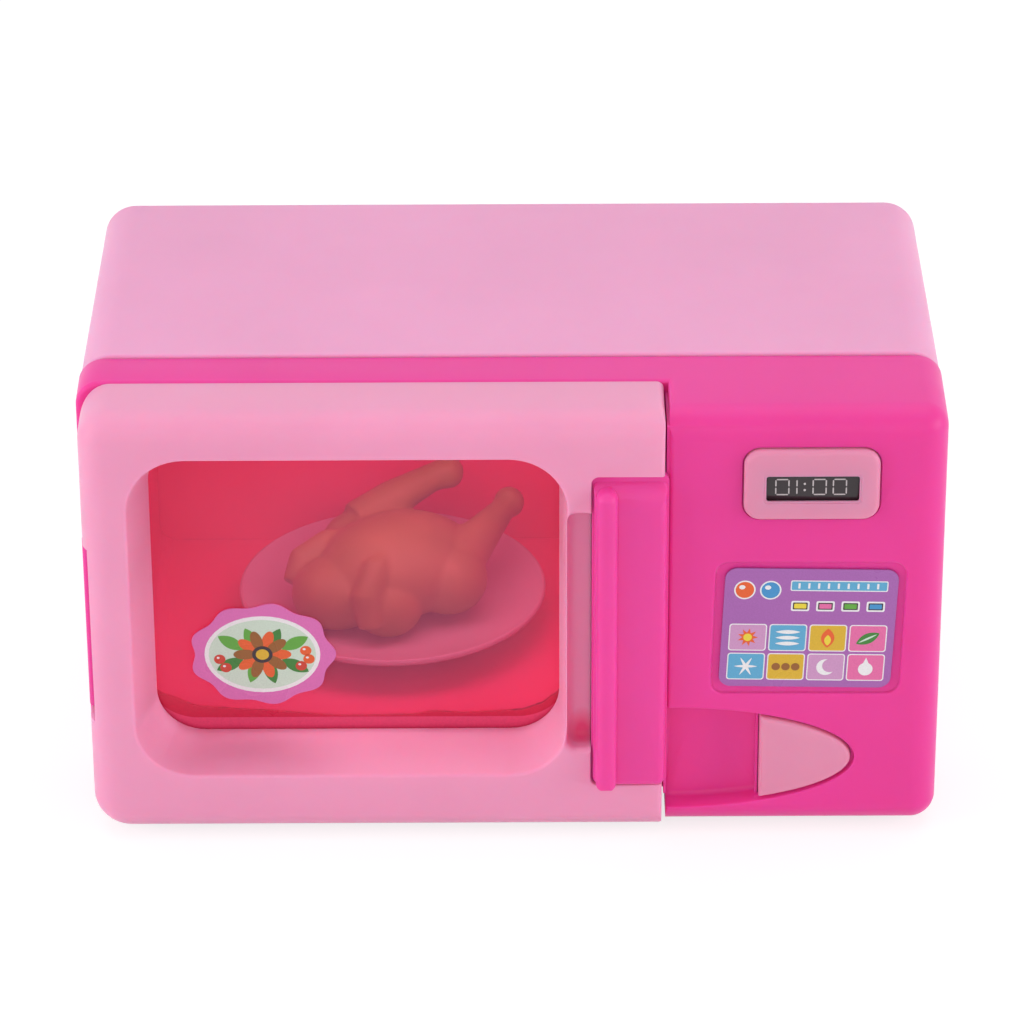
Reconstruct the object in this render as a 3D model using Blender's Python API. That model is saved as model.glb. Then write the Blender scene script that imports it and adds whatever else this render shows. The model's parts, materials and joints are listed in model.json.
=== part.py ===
"""Toy microwave oven, 141 mm wide, with a hinged door, a sprung release button and a turntable.

Metres, +Z up, and the front faces -Y. The origin lies under the middle of the body,
on the surface that the feet stand on. A box is left, right, low, high.
"""

import math

import bmesh
import bpy
from mathutils import Matrix, Vector

MM = 0.001

# Clearances
GAP = 0.3 * MM
OVERSHOOT = 1.0 * MM
OVERLAP = 0.5 * MM
SMALLEST_RADIUS = 0.1 * MM

# Body
WIDTH = 141 * MM
HALF = WIDTH / 2
FOOT_HEIGHT = 1.3 * MM
LOW = FOOT_HEIGHT
HIGH = LOW + 77.7 * MM
CORNER = 4.2 * MM
EDGE_ROUND = 4.5 * MM
SMALL_ROUND = 0.8 * MM
WALL = 2.0 * MM

# Planes from front to back
FRONT = -37.6 * MM
DOOR_FRONT = FRONT - 1.6 * MM
HANDLE_FRONT = FRONT - 2.6 * MM
RIB_FRONT = FRONT - 4.6 * MM
BAND_FRONT = FRONT + 12.1 * MM
SEAM = FRONT + 20.8 * MM
BACK = FRONT + 79.8 * MM
DOOR_BACK = BAND_FRONT - 0.4 * MM
PLATE_BACK = BAND_FRONT + WALL

# Rear shell, and the front frame's lip inside it
SHELL_INSET = 0.15 * MM
SHELL = (-HALF + SHELL_INSET, HALF - SHELL_INSET, LOW + SHELL_INSET, HIGH + 0.5 * MM)
SHELL_CORNER = 5.4 * MM
SHELL_CHAMFER = 0.3 * MM
BACK_ROUND = 2.5 * MM
DRAFT = math.radians(0.5)
LIP_OUTSIDE = SHELL_INSET + WALL + GAP
LIP_THICK = 1.0 * MM
LIP_CORNER = SHELL_CORNER - WALL - GAP
LIP_REACH = 2.0 * MM
LIP_ROOT = 0.2 * MM
FOOT_RADIUS = 4.5 * MM
FOOT_CHAMFER = 0.4 * MM
FOOT_X = 56 * MM
FOOT_Y = (-8 * MM, 34 * MM)
VENT_COUNT = 6
VENT_PITCH = 6 * MM
VENT_WIDTH = 2 * MM
VENT_HEIGHT = 26 * MM
VENT_DEPTH = 0.7 * MM
VENT_CENTRE_X = 30 * MM

# Screws, and the posts that the body's own pass through
SCREW_HOLE = 1.4 * MM
SCREW_SHANK = 1.1 * MM
SCREW_HEAD = 2.0 * MM
HEAD_HEIGHT = 1.4 * MM
SHORT_SCREW_LENGTH = 6.5 * MM
POST_X = 62.8 * MM
POST_Z = (LOW + 7.3 * MM, LOW + 70.6 * MM)
POST_RADIUS = 3.2 * MM
HEAD_WELL_RADIUS = 2.3 * MM
HEAD_SEAT = FRONT + 32 * MM
BODY_SCREW_LENGTH = 17 * MM

# Control block, right of the door
BLOCK_LEFT = 25.5 * MM
BEZEL = (37.5 * MM, 59.4 * MM, LOW + 58.8 * MM, LOW + 71.5 * MM)
BEZEL_CORNER = 2.8 * MM
BEZEL_PROUD = 1.0 * MM
BEZEL_FLANGE = 0.9 * MM
BEZEL_DEPTH = 3.6 * MM
DISPLAY = (41.1 * MM, 56.1 * MM, LOW + 62.3 * MM, LOW + 66.9 * MM)
DISPLAY_CORNER = 0.5 * MM
DISPLAY_MARGIN = 1.0 * MM
DISPLAY_THICK = 1.0 * MM
DISPLAY_SUNK = 0.9 * MM

# Control label in its recess; both lean a little
LABEL_RECESS = (33.0 * MM, 63.9 * MM, LOW + 25.8 * MM, LOW + 50.4 * MM)
LABEL_RECESS_DEPTH = 0.6 * MM
LABEL_RECESS_LEAN = (0.026, 0.004)
LABEL = (34.4 * MM, 62.6 * MM, LOW + 27.0 * MM, LOW + 49.2 * MM)
LABEL_LEAN = (0.044, 0.018)
LABEL_THICK = 0.25 * MM
LABEL_CORNER = 2.0 * MM
GLUE_GAP = 0.15 * MM

# Finger scoop and button: one half-ellipse, split by the button's flat left side
SCOOP_X = 25.6 * MM
SCOOP_Z = LOW + 13.45 * MM
SCOOP_LONG = 31 * MM
SCOOP_SHORT = 9.6 * MM
SCOOP_DEPTH = 4.0 * MM
SCOOP_WALL = 1.6 * MM
BUTTON_LEFT = 40.9 * MM
BUTTON_CLEAR = 0.6 * MM
BUTTON_ROUND = 0.8 * MM
BUTTON_PROUD = 0.1 * MM
BUTTON_BACK = FRONT + 4.6 * MM
BUTTON_FLANGE = 1.1 * MM
BUTTON_FLANGE_THICK = 1.0 * MM
BUTTON_HOLE_DEPTH = 8.0 * MM
STEM_X = 48.4 * MM
STEM_Z = SCOOP_Z
STEM_RADIUS = 2.0 * MM
STEM_END = FRONT + 21.7 * MM

# Latch: a rocker on an axis along X, snapped into a bracket behind the button
BRACKET = (30.4 * MM, 59.2 * MM, LOW + 5 * MM, LOW + 34.5 * MM)
BRACKET_CORNER = 1.5 * MM
BRACKET_FRONT = FRONT + 14 * MM
BRACKET_THICK = 1.6 * MM
BRACKET_BACK = BRACKET_FRONT + BRACKET_THICK
BRACKET_POST_RADIUS = 2.4 * MM
BRACKET_HOLE_DEPTH = 7.0 * MM
BRACKET_SCREW_X = (33.9 * MM, 56.4 * MM)
BRACKET_SCREW_Z = LOW + 31.5 * MM
EAR_X = (30.4 * MM, 53.4 * MM)
EAR_THICK = 1.6 * MM
EAR_BELOW = 5.0 * MM
EAR_ABOVE = 4.0 * MM
EAR_BACK = FRONT + 31 * MM
SNAP_NARROWING = 0.3 * MM
ROCKER_Y = FRONT + 27 * MM
ROCKER_Z = LOW + 24 * MM
ROCKER_RADIUS = 1.5 * MM
ROCKER_LEFT = 18.9 * MM
ROCKER_RIGHT = 56.4 * MM
TOOTH_RIGHT = 22.9 * MM
TOOTH_TOP = LOW + 24.2 * MM
TOOTH_FRONT = FRONT + 16.6 * MM
TOOTH_THICK = 2.4 * MM
ARM_FRONT = TOOTH_FRONT + 0.4 * MM
ARM_HIGH = ROCKER_Z - 1.1 * MM
ARM_DEPTH = 2.1 * MM
PUSH_ARM_LOW = LOW + 11.5 * MM
PUSH_ARM_HALF = 2.0 * MM
PUSH_ARM_THICK = 1.8 * MM
PUSH_ROOT = (ROCKER_Z - 1.2 * MM, ROCKER_Z + 0.6 * MM)
SIDE_STEP = 0.1 * MM

# Button spring
SPRING_RADIUS = 2.9 * MM
SPRING_WIRE = 0.35 * MM
SPRING_TURNS = 6
SPRING_POINTS = 10
SPRING_SIDES = 6

# Oven liner and the mouth in the band that leads into it
MOUTH = (-61.6 * MM, 14.4 * MM, LOW + 12.2 * MM, LOW + 66 * MM)
MOUTH_CORNER = 5 * MM
OVEN = (-62.6 * MM, 15.4 * MM, LOW + 12.5 * MM, LOW + 66 * MM)
OVEN_CORNER = 3 * MM
LINER_WALL = 1.2 * MM
OVEN_FRONT = PLATE_BACK + GAP
OVEN_BACK = FRONT + 76.2 * MM
LINER_BACK = OVEN_BACK + LINER_WALL
LINER_SCREW_X = (-50.6 * MM, 9.4 * MM)
LINER_SCREW_Z = LOW + 45.5 * MM
LINER_SCREW_HEAD = 2.2 * MM
LINER_SCREW_LENGTH = 2.6 * MM

# Turntable
TABLE_X = -20.6 * MM
TABLE_Y = FRONT + 49 * MM
PLATE_RADIUS = 26.5 * MM
PLATE_LOW = LOW + 13.2 * MM
PLATE_RIM = LOW + 18.9 * MM
PLATE_WELL = LOW + 16.2 * MM
PLATE_THIN = 1.3 * MM
PLATE_SIDES = 36
HUB_WALL = 1.6 * MM
SPINDLE_RADIUS = 2.0 * MM
SPINDLE_FLANGE = 4.0 * MM
SPINDLE_FLANGE_THICK = 1.0 * MM
SPINDLE_LOW = LOW + 10.0 * MM
SPINDLE_HIGH = LOW + 14.9 * MM

# Door
DOOR_LEFT = -HALF + 0.9 * MM
DOOR_RIGHT = 24.8 * MM
DOOR_CORNERS = (6.2 * MM, 1.2 * MM, 1.2 * MM, 5.0 * MM)
WINDOW_FRONT = (-61.9 * MM, 9.1 * MM, LOW + 11.35 * MM, LOW + 70.4 * MM)
WINDOW_FRONT_CORNER = 9.5 * MM
WINDOW_FLARE = 0.28 * MM
WINDOW_BACK = (-59.0 * MM, 7.9 * MM, LOW + 13.9 * MM, LOW + 69.4 * MM)
WINDOW_BACK_CORNER = 8.0 * MM
SEAT_Y = FRONT + 9.4 * MM
SEAT = (-61.1 * MM, 9.9 * MM, LOW + 11.9 * MM, LOW + 71.3 * MM)
SEAT_CORNER = 9.0 * MM
FILM_THICK = 0.5 * MM
REBATE = (13.0 * MM, 25.9 * MM, LOW + 9.15 * MM, LOW + 67.25 * MM)
REBATE_BACK = FRONT + 2.9 * MM
FINGER = (9.1 * MM, 13.9 * MM, LOW + 16.15 * MM, LOW + 60.4 * MM)
FINGER_CORNER = 1.0 * MM
FINGER_BACK = FRONT + 2.6 * MM
POCKET = (10.0 * MM, 13.6 * MM, LOW + 16.5 * MM, LOW + 21.8 * MM)
POCKET_BACK = FRONT + 4.0 * MM
STILE = (13.6 * MM, 23.0 * MM, LOW + 4 * MM, LOW + 73.5 * MM)
STILE_FRONT = FRONT + 4.9 * MM
RAIL_LOW = (-57.6 * MM, 6.4 * MM, LOW + 2 * MM, LOW + 9.6 * MM)
RAIL_HIGH = (-57.6 * MM, 6.4 * MM, LOW + 73.3 * MM, LOW + 75.6 * MM)
RAIL_FRONT = FRONT + 3.4 * MM
RECESS_CORNER = 1.0 * MM

# Hinge: the lug stands on the frame, and the door's notch turns round it
HINGE_X = -66.1 * MM
HINGE_Y = FRONT + 8.1 * MM
HINGE_ROUND = HINGE_X - DOOR_LEFT
LUG_LOW = LOW + 21.2 * MM
LUG_HIGH = LOW + 52.9 * MM
LUG_LEFT = -69.9 * MM
LUG_RIGHT = -62.6 * MM
LUG_FRONT = FRONT + 4.4 * MM
LUG_ROUND = 1.0 * MM
NOTCH_RADIUS = 5.7 * MM
NOTCH_RELIEF = 0.9 * MM
NOTCH_LOW = LUG_LOW - 0.4 * MM
NOTCH_HIGH = LUG_HIGH + 0.4 * MM
PIN_RADIUS = 1.0 * MM
PIN_REACH = 8.0 * MM
BORE_RADIUS = PIN_RADIUS + GAP

# Handle, in the door's right edge
HANDLE = (13.4 * MM, 25.2 * MM, LOW + 9.5 * MM, LOW + 66.95 * MM)
HANDLE_BACK = REBATE_BACK - GAP
HANDLE_CORNER = 1.2 * MM
HANDLE_TOP_ROUND = 4.9 * MM
HANDLE_SIDE_ROUND = 1.2 * MM
RIB = (13.8 * MM, 17.2 * MM, LOW + 9.6 * MM, LOW + 65.45 * MM)
RIB_CORNERS = (0.9 * MM, 0.9 * MM, 1.65 * MM, 1.65 * MM)
RIB_ROUNDS = (1.6 * MM, 1.6 * MM, 0.8 * MM, 1.6 * MM)
RIB_ROOT = 2.5 * MM
HANDLE_SCREW_X = 18.9 * MM
HANDLE_SCREW_Z = (LOW + 44 * MM, LOW + 61 * MM)
HANDLE_SCREW_LENGTH = 5.0 * MM
HANDLE_HOLE_DEPTH = 4.0 * MM

# Door catch
CATCH_FOOT = (18.0 * MM, 22.6 * MM, LOW + 22 * MM, LOW + 36 * MM)
CATCH_FOOT_THICK = 2.0 * MM
CATCH_SCREW_X = (CATCH_FOOT[0] + CATCH_FOOT[1]) / 2
CATCH_SCREW_Z = LOW + 33.2 * MM
TONGUE = (19.4 * MM, 21.9 * MM, LOW + 25.5 * MM, LOW + 28.0 * MM)
TONGUE_END = FRONT + 21.8 * MM
NOSE_FRONT = FRONT + 19.6 * MM
NOSE_LOW = LOW + 24.5 * MM
SLOT = (18.8 * MM, 23.8 * MM, LOW + 23.7 * MM, LOW + 29.0 * MM)

# Sticker on the film: a scalloped oval
STICKER_X = -41.3 * MM
STICKER_Z = LOW + 28.2 * MM
STICKER_LONG = 11.7 * MM
STICKER_SHORT = 9.3 * MM
STICKER_THICK = 0.2 * MM
STICKER_LOBES = 9
STICKER_SWELL = 0.045
STICKER_POINTS = 54

# Facets
ARC_STEPS = 5
ROUND_STEPS = 4
FINE_SIDES = 32
TURNED_SIDES = 20
POST_SIDES = 16
SCREW_SIDES = 12
LIMB_SIDES = 10
SHARP_ANGLE = math.radians(35)

LIGHT_PINK = (0.86, 0.40, 0.62)
HOT_PINK = (0.80, 0.09, 0.36)
PALE_PINK = (0.82, 0.43, 0.58)


def clear_scene():
    for obj in list(bpy.data.objects):
        bpy.data.objects.remove(obj)


def material(name, color, roughness=0.35, metallic=0.0, alpha=1.0):
    found = bpy.data.materials.get(name) or bpy.data.materials.new(name)
    found.use_nodes = True
    shader = found.node_tree.nodes["Principled BSDF"]
    shader.inputs["Base Color"].default_value = (*color, 1.0)
    shader.inputs["Roughness"].default_value = roughness
    shader.inputs["Metallic"].default_value = metallic
    shader.inputs["Alpha"].default_value = alpha
    return found


def steel():
    return material("screw_steel", (0.55, 0.55, 0.56), 0.3, 1.0)


def latch_white():
    return material("latch_white", (0.75, 0.73, 0.70), 0.45)


def add_object(name, mesh):
    """Links a finished bmesh into the scene, with its faces turned out."""
    bmesh.ops.recalc_face_normals(mesh, faces=mesh.faces)
    data = bpy.data.meshes.new(name)
    mesh.to_mesh(data)
    mesh.free()
    obj = bpy.data.objects.new(name, data)
    bpy.context.scene.collection.objects.link(obj)
    return obj


def finish(obj, look):
    """Gives a finished piece its material and smooth round faces."""
    obj.data.materials.clear()
    obj.data.materials.append(look)
    obj.data.shade_smooth()
    obj.data.set_sharp_from_angle(angle=SHARP_ANGLE)
    return obj


def loft(name, rings):
    """A closed solid skinned over rings of equally many points, with both ends capped."""
    mesh = bmesh.new()
    loops = [[mesh.verts.new(point) for point in ring] for ring in rings]
    for near, far in zip(loops, loops[1:]):
        for index, vertex in enumerate(near):
            following = (index + 1) % len(near)
            mesh.faces.new((vertex, near[following], far[following], far[index]))
    mesh.faces.new(loops[0])
    mesh.faces.new(loops[-1])
    return add_object(name, mesh)


def combine(base, operation, others):
    """Applies one Boolean operation with each of the other solids in turn, and removes them."""
    for other in others:
        other.hide_render = True
        other.display_type = "WIRE"
        modifier = base.modifiers.new(operation.title(), "BOOLEAN")
        modifier.operation = operation
        modifier.object = other
    graph = bpy.context.evaluated_depsgraph_get()
    shaped = bpy.data.meshes.new_from_object(base.evaluated_get(graph))
    base.modifiers.clear()
    base.data = shaped
    for other in others:
        bpy.data.objects.remove(other)
    return base


def fuse(base, *others):
    return combine(base, "UNION", others)


def cut(base, *others):
    return combine(base, "DIFFERENCE", others)


def rounded_rect(box, radii, steps=ARC_STEPS):
    """Outline (x, z) of a box; radii run from the lower left corner, counter-clockwise."""
    left, right, low, high = box
    corners = ((left, low, 1, 1), (right, low, -1, 1), (right, high, -1, -1), (left, high, 1, -1))
    outline = []
    for quarter, ((x, z, inward_x, inward_z), radius) in enumerate(zip(corners, radii)):
        radius = max(radius, SMALLEST_RADIUS)
        for step in range(steps + 1):
            angle = math.pi + (quarter + step / steps) * math.pi / 2
            along_x = x + radius * (inward_x + math.cos(angle))
            along_z = z + radius * (inward_z + math.sin(angle))
            outline.append((along_x, along_z))
    return outline


def leaning(box, radius, lean, steps=ARC_STEPS):
    """Outline of a rounded box whose sides lean to the right and whose top slopes down."""
    sideways, downward = lean
    middle_x = (box[0] + box[1]) / 2
    middle_z = (box[2] + box[3]) / 2
    outline = []
    for x, z in rounded_rect(box, (radius,) * 4, steps):
        outline.append((x + sideways * (z - middle_z), z - downward * (x - middle_x)))
    return outline


def at_depth(outline, y):
    return [(x, y, z) for x, z in outline]


def prism(name, outline, front, back):
    return loft(name, [at_depth(outline, front), at_depth(outline, back)])


def slab(name, box, radius, front, back, steps=ARC_STEPS):
    return prism(name, rounded_rect(box, (radius,) * 4, steps), front, back)


def block(name, box, front, back):
    """A plain box between two planes."""
    left, right, low, high = box
    return prism(name, [(left, low), (right, low), (right, high), (left, high)], front, back)


def grown(box, margin):
    left, right, low, high = box
    return left - margin, right + margin, low - margin, high + margin


def round_inset(radius, depth):
    """How far a rounded edge lies inside the full outline at this depth behind the front."""
    if depth >= radius:
        return 0.0
    return radius - math.sqrt(radius**2 - (radius - depth) ** 2)


def edge_depths(radius, steps=ROUND_STEPS):
    return [radius * (1 - math.cos(math.pi / 2 * step / steps)) for step in range(steps + 1)]


def rounded_ring(box, corners, edges, depth, y):
    """One ring of a block whose front edges are rounded; edges are left, right, low, high."""
    left, right, low, high = (round_inset(radius, depth) for radius in edges)
    inner = (box[0] + left, box[1] - right, box[2] + low, box[3] - high)
    sides = ((left, low), (right, low), (right, high), (left, high))
    radii = [corner - max(pair) for corner, pair in zip(corners, sides)]
    return at_depth(rounded_rect(inner, radii), y)


def rounded_front(name, box, corners, edges, front, back):
    depths = edge_depths(max(edges))
    rings = [rounded_ring(box, corners, edges, depth, front + depth) for depth in depths]
    rings.append(rounded_ring(box, corners, edges, max(edges), back))
    return loft(name, rings)


def circle(centre, axis, along, radius, sides):
    """A ring of points round an axis through centre; along is its coordinate on that axis."""
    first, second = {"X": (1, 2), "Y": (2, 0), "Z": (0, 1)}[axis]
    ring = []
    for side in range(sides):
        angle = 2 * math.pi * side / sides
        point = list(centre)
        point["XYZ".index(axis)] = along
        point[first] += radius * math.cos(angle)
        point[second] += radius * math.sin(angle)
        ring.append(point)
    return ring


def turned(name, centre, axis, profile, sides=TURNED_SIDES):
    """A solid of revolution; profile lists (place on the axis, radius)."""
    return loft(name, [circle(centre, axis, along, radius, sides) for along, radius in profile])


def cylinder(name, centre, axis, radius, start, end, sides=POST_SIDES):
    return turned(name, centre, axis, ((start, radius), (end, radius)), sides)


def screw_hole(x, z, front, back):
    return cylinder("hole", (x, 0, z), "Y", SCREW_HOLE, front, back, SCREW_SIDES)


def tube(name, points, radii, sides):
    """A round bar along points, with a radius for each."""
    rings = []
    points = [Vector(point) for point in points]
    sideways = None
    for index, point in enumerate(points):
        ahead = points[min(index + 1, len(points) - 1)]
        behind = points[max(index - 1, 0)]
        forward = (ahead - behind).normalized()
        if sideways is None:
            sideways = forward.orthogonal()
        sideways = (sideways - forward * sideways.dot(forward)).normalized()
        upward = forward.cross(sideways)
        ring = []
        for side in range(sides):
            angle = 2 * math.pi * side / sides
            outward = sideways * math.cos(angle) + upward * math.sin(angle)
            ring.append(point + radii[index] * outward)
        rings.append(ring)
    return loft(name, rings)


def ellipsoid(name, centre, radii, turn, sides, bands):
    mesh = bmesh.new()
    place = Matrix.Translation(centre) @ Matrix.Rotation(turn, 4, "Z") @ Matrix.Diagonal((*radii, 1.0))
    bmesh.ops.create_uvsphere(mesh, u_segments=sides, v_segments=bands, radius=1.0, matrix=place)
    return add_object(name, mesh)


def hang(pieces, pivot_name, pivot):
    """Parents pieces to an empty on their joint's axis, with their origins there too."""
    empty = bpy.data.objects.new(pivot_name, None)
    empty.location = pivot
    bpy.context.scene.collection.objects.link(empty)
    for piece in pieces:
        piece.data.transform(Matrix.Translation(-Vector(pivot)))
        piece.parent = empty


def screw(name, x, z, head_top, direction, length, head=SCREW_HEAD):
    """A pan-head screw along Y with a cross recess; it points along direction from its head."""
    under = head_top + direction * HEAD_HEIGHT
    tip = head_top + direction * length
    profile = (
        (head_top, head * 0.72),
        (head_top + direction * HEAD_HEIGHT * 0.45, head),
        (under, head),
        (under, SCREW_SHANK),
        (tip - direction * SCREW_SHANK, SCREW_SHANK),
        (tip, SCREW_SHANK * 0.35),
    )
    body = turned(name, (x, 0, z), "Y", profile, SCREW_SIDES)
    recess_end = head_top + direction * HEAD_HEIGHT / 2
    front, back = sorted((head_top - direction * OVERSHOOT, recess_end))
    long, short = head * 0.52, head * 0.12
    for wide, tall in ((long, short), (short, long)):
        cut(body, block("recess", (x - wide, x + wide, z - tall, z + tall), front, back))
    return finish(body, steel())


def scoop_outline(grow, left, steps=12):
    """The half-ellipse to the right of a value of x, grown outwards by a margin."""
    long, short = SCOOP_LONG + grow, SCOOP_SHORT + grow
    start = math.acos((left - SCOOP_X) / long)
    angles = [start * (1 - step / steps) for step in range(steps + 1)]
    upper = [(SCOOP_X + long * math.cos(a), SCOOP_Z + short * math.sin(a)) for a in angles]
    lower = [(x, 2 * SCOOP_Z - z) for x, z in reversed(upper) if z > SCOOP_Z + SMALLEST_RADIUS]
    return upper + lower


def frame_hollow():
    """The space inside the front frame: the block's, less the scoop's walls, and the band's."""
    inside_low, inside_high = LOW + WALL, HIGH - WALL
    block_inside = (BLOCK_LEFT + WALL, HALF - WALL, inside_low, inside_high)
    band_inside = (-HALF + WALL, HALF - WALL, inside_low, inside_high)
    space = slab("hollow", block_inside, CORNER - WALL, FRONT + WALL, SEAM - OVERSHOOT)
    scoop_wall = prism(
        "scoop_wall",
        scoop_outline(SCOOP_WALL, SCOOP_X - OVERSHOOT),
        FRONT,
        FRONT + SCOOP_DEPTH + SCOOP_WALL,
    )
    button_bay = block(
        "button_bay",
        (BUTTON_LEFT - BUTTON_CLEAR, HALF, LOW, HIGH),
        FRONT - OVERSHOOT,
        SEAM,
    )
    cut(scoop_wall, button_bay)
    cut(space, scoop_wall)
    band_space = slab("band_space", band_inside, CORNER - WALL, PLATE_BACK, SEAM + OVERSHOOT)
    return fuse(space, band_space)


def frame_lip():
    """A lip that closes the seam with the rear shell from inside."""
    outline = (-HALF, HALF, LOW, HIGH)
    lip_box = grown(outline, -LIP_OUTSIDE)
    root_box = grown(outline, LIP_ROOT - WALL)
    inner_box = grown(lip_box, -LIP_THICK)
    root = slab("lip_root", root_box, CORNER - WALL, SEAM - LIP_REACH, SEAM - SMALLEST_RADIUS)
    lip = slab("lip", lip_box, LIP_CORNER, SEAM - OVERLAP, SEAM + LIP_REACH)
    inside_start = SEAM - LIP_REACH - OVERSHOOT
    inside = slab("lip_inside", inner_box, LIP_CORNER - LIP_THICK, inside_start, SEAM + 2 * LIP_REACH)
    fuse(lip, root)
    return cut(lip, inside)


def frame_posts():
    """Posts for the body screws and for the latch bracket's screws."""
    posts = []
    for x in (-POST_X, POST_X):
        start = (PLATE_BACK if x < 0 else FRONT + WALL) - OVERLAP
        for z in POST_Z:
            posts.append(cylinder("post", (x, 0, z), "Y", POST_RADIUS, start, SEAM))
    for x in BRACKET_SCREW_X:
        centre = (x, 0, BRACKET_SCREW_Z)
        start, end = FRONT + WALL - OVERLAP, BRACKET_FRONT - GAP
        posts.append(cylinder("post", centre, "Y", BRACKET_POST_RADIUS, start, end, SCREW_SIDES))
    return posts


def frame_cutters():
    """Everything that is cut from the front frame, apart from its hollow."""
    before = FRONT - OVERSHOOT
    behind_plate = PLATE_BACK + OVERSHOOT
    scoop_floor = FRONT + SCOOP_DEPTH
    scoop = prism("scoop", scoop_outline(0.0, SCOOP_X - 2 * SMALLEST_RADIUS), before, scoop_floor)
    scoop_mouth = block(
        "scoop_mouth",
        (BLOCK_LEFT - OVERSHOOT, SCOOP_X, SCOOP_Z - SCOOP_SHORT, SCOOP_Z + SCOOP_SHORT),
        before,
        scoop_floor,
    )
    button_outline = scoop_outline(0.0, BUTTON_LEFT - BUTTON_CLEAR)
    recess_outline = leaning(LABEL_RECESS, LABEL_CORNER, LABEL_RECESS_LEAN)
    cutters = [
        scoop,
        scoop_mouth,
        prism("button_hole", button_outline, before, FRONT + BUTTON_HOLE_DEPTH),
        slab("display_hole", grown(BEZEL, GAP), BEZEL_CORNER, before, FRONT + WALL + OVERSHOOT),
        prism("label_recess", recess_outline, before, FRONT + LABEL_RECESS_DEPTH),
        slab("mouth", MOUTH, MOUTH_CORNER, BAND_FRONT - OVERSHOOT, behind_plate),
        block("slot", SLOT, BAND_FRONT - OVERSHOOT, behind_plate),
        hinge_cylinder("lug_bore", BORE_RADIUS, LUG_LOW - OVERSHOOT, LUG_HIGH + OVERSHOOT),
    ]
    for x in (-POST_X, POST_X):
        for z in POST_Z:
            cutters.append(screw_hole(x, z, PLATE_BACK + OVERLAP, SEAM + OVERSHOOT))
    for x in BRACKET_SCREW_X:
        cutters.append(screw_hole(x, BRACKET_SCREW_Z, BRACKET_FRONT - BRACKET_HOLE_DEPTH, BRACKET_FRONT))
    return cutters


def hinge_cylinder(name, radius, low, high, sides=POST_SIDES):
    return cylinder(name, (HINGE_X, HINGE_Y, 0), "Z", radius, low, high, sides)


def hinge_lug():
    """The frame's half of the hinge, with rounded front corners, seen from above."""
    back = BAND_FRONT + SMALL_ROUND + OVERLAP
    plan = rounded_rect((LUG_LEFT, LUG_RIGHT, LUG_FRONT, back), (LUG_ROUND, LUG_ROUND, 0, 0), ROUND_STEPS)
    return loft("lug", [[(x, y, z) for x, y in plan] for z in (LUG_LOW, LUG_HIGH)])


def make_front_frame(look):
    outline = (-HALF, HALF, LOW, HIGH)
    corners = (CORNER,) * 4
    band_rings = []
    for depth in (0.0, 0.3 * SMALL_ROUND, SMALL_ROUND):
        band_rings.append(rounded_ring(outline, corners, (SMALL_ROUND,) * 4, depth, BAND_FRONT + depth))
    band_rings.append(at_depth(rounded_rect(outline, corners), SEAM))
    frame = loft("front_frame", band_rings)
    control_block = rounded_front(
        "control_block",
        (BLOCK_LEFT, HALF, LOW, HIGH),
        (SMALL_ROUND, CORNER, CORNER, SMALL_ROUND),
        (SMALL_ROUND, EDGE_ROUND, EDGE_ROUND, EDGE_ROUND),
        FRONT,
        SEAM - WALL,
    )
    fuse(frame, control_block)
    cut(frame, frame_hollow())
    fuse(frame, frame_lip())
    fuse(frame, hinge_lug(), *frame_posts())
    cut(frame, *frame_cutters())
    return finish(frame, look)


def shell_ring(inset, depth, y):
    """Outline of the rear shell at a plane, drawn in by its draft and a further inset."""
    box = grown(SHELL, -inset - depth * math.tan(DRAFT))
    return at_depth(rounded_rect(box, (SHELL_CORNER - inset,) * 4), y)


def make_rear_shell(look):
    front = SEAM + GAP
    rings = [shell_ring(SHELL_CHAMFER, 0, front), shell_ring(0.0, 0, front + SHELL_CHAMFER)]
    for depth in reversed(edge_depths(BACK_ROUND)):
        y = BACK - depth
        rings.append(shell_ring(round_inset(BACK_ROUND, depth), y - front, y))
    shell = loft("rear_shell", rings)
    inner_back = BACK - WALL
    inner = [
        shell_ring(WALL, 0, front - OVERSHOOT),
        shell_ring(WALL, inner_back - front, inner_back),
    ]
    cut(shell, loft("inside", inner))

    post_places = [(x, 0, z) for x in (-POST_X, POST_X) for z in POST_Z]
    additions = []
    for place in post_places:
        additions.append(cylinder("post", place, "Y", POST_RADIUS, front + GAP, inner_back + OVERLAP))
    foot_profile = (
        (0.0, FOOT_RADIUS - FOOT_CHAMFER),
        (FOOT_CHAMFER, FOOT_RADIUS),
        (LOW + WALL, FOOT_RADIUS),
    )
    for x in (-FOOT_X, FOOT_X):
        for y in FOOT_Y:
            additions.append(turned("foot", (x, y, 0), "Z", foot_profile, POST_SIDES))
    fuse(shell, *additions)

    cutters = []
    for place in post_places:
        cutters.append(screw_hole(place[0], place[2], front - OVERSHOOT, BACK))
        cutters.append(cylinder("well", place, "Y", HEAD_WELL_RADIUS, HEAD_SEAT, BACK + OVERSHOOT))
    for x in LINER_SCREW_X:
        cutters.append(screw_hole(x, LINER_SCREW_Z, LINER_BACK - GAP, OVEN_BACK + LINER_SCREW_LENGTH))
    middle = (LOW + HIGH) / 2
    half_wide, half_high = VENT_WIDTH / 2, VENT_HEIGHT / 2
    vent_corner = half_wide - SMALLEST_RADIUS / 2
    for index in range(VENT_COUNT):
        x = VENT_CENTRE_X + (index - (VENT_COUNT - 1) / 2) * VENT_PITCH
        vent_box = (x - half_wide, x + half_wide, middle - half_high, middle + half_high)
        cutters.append(slab("vent", vent_box, vent_corner, BACK - VENT_DEPTH, BACK + OVERSHOOT, 3))
    cut(shell, *cutters)
    return finish(shell, look)


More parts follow.
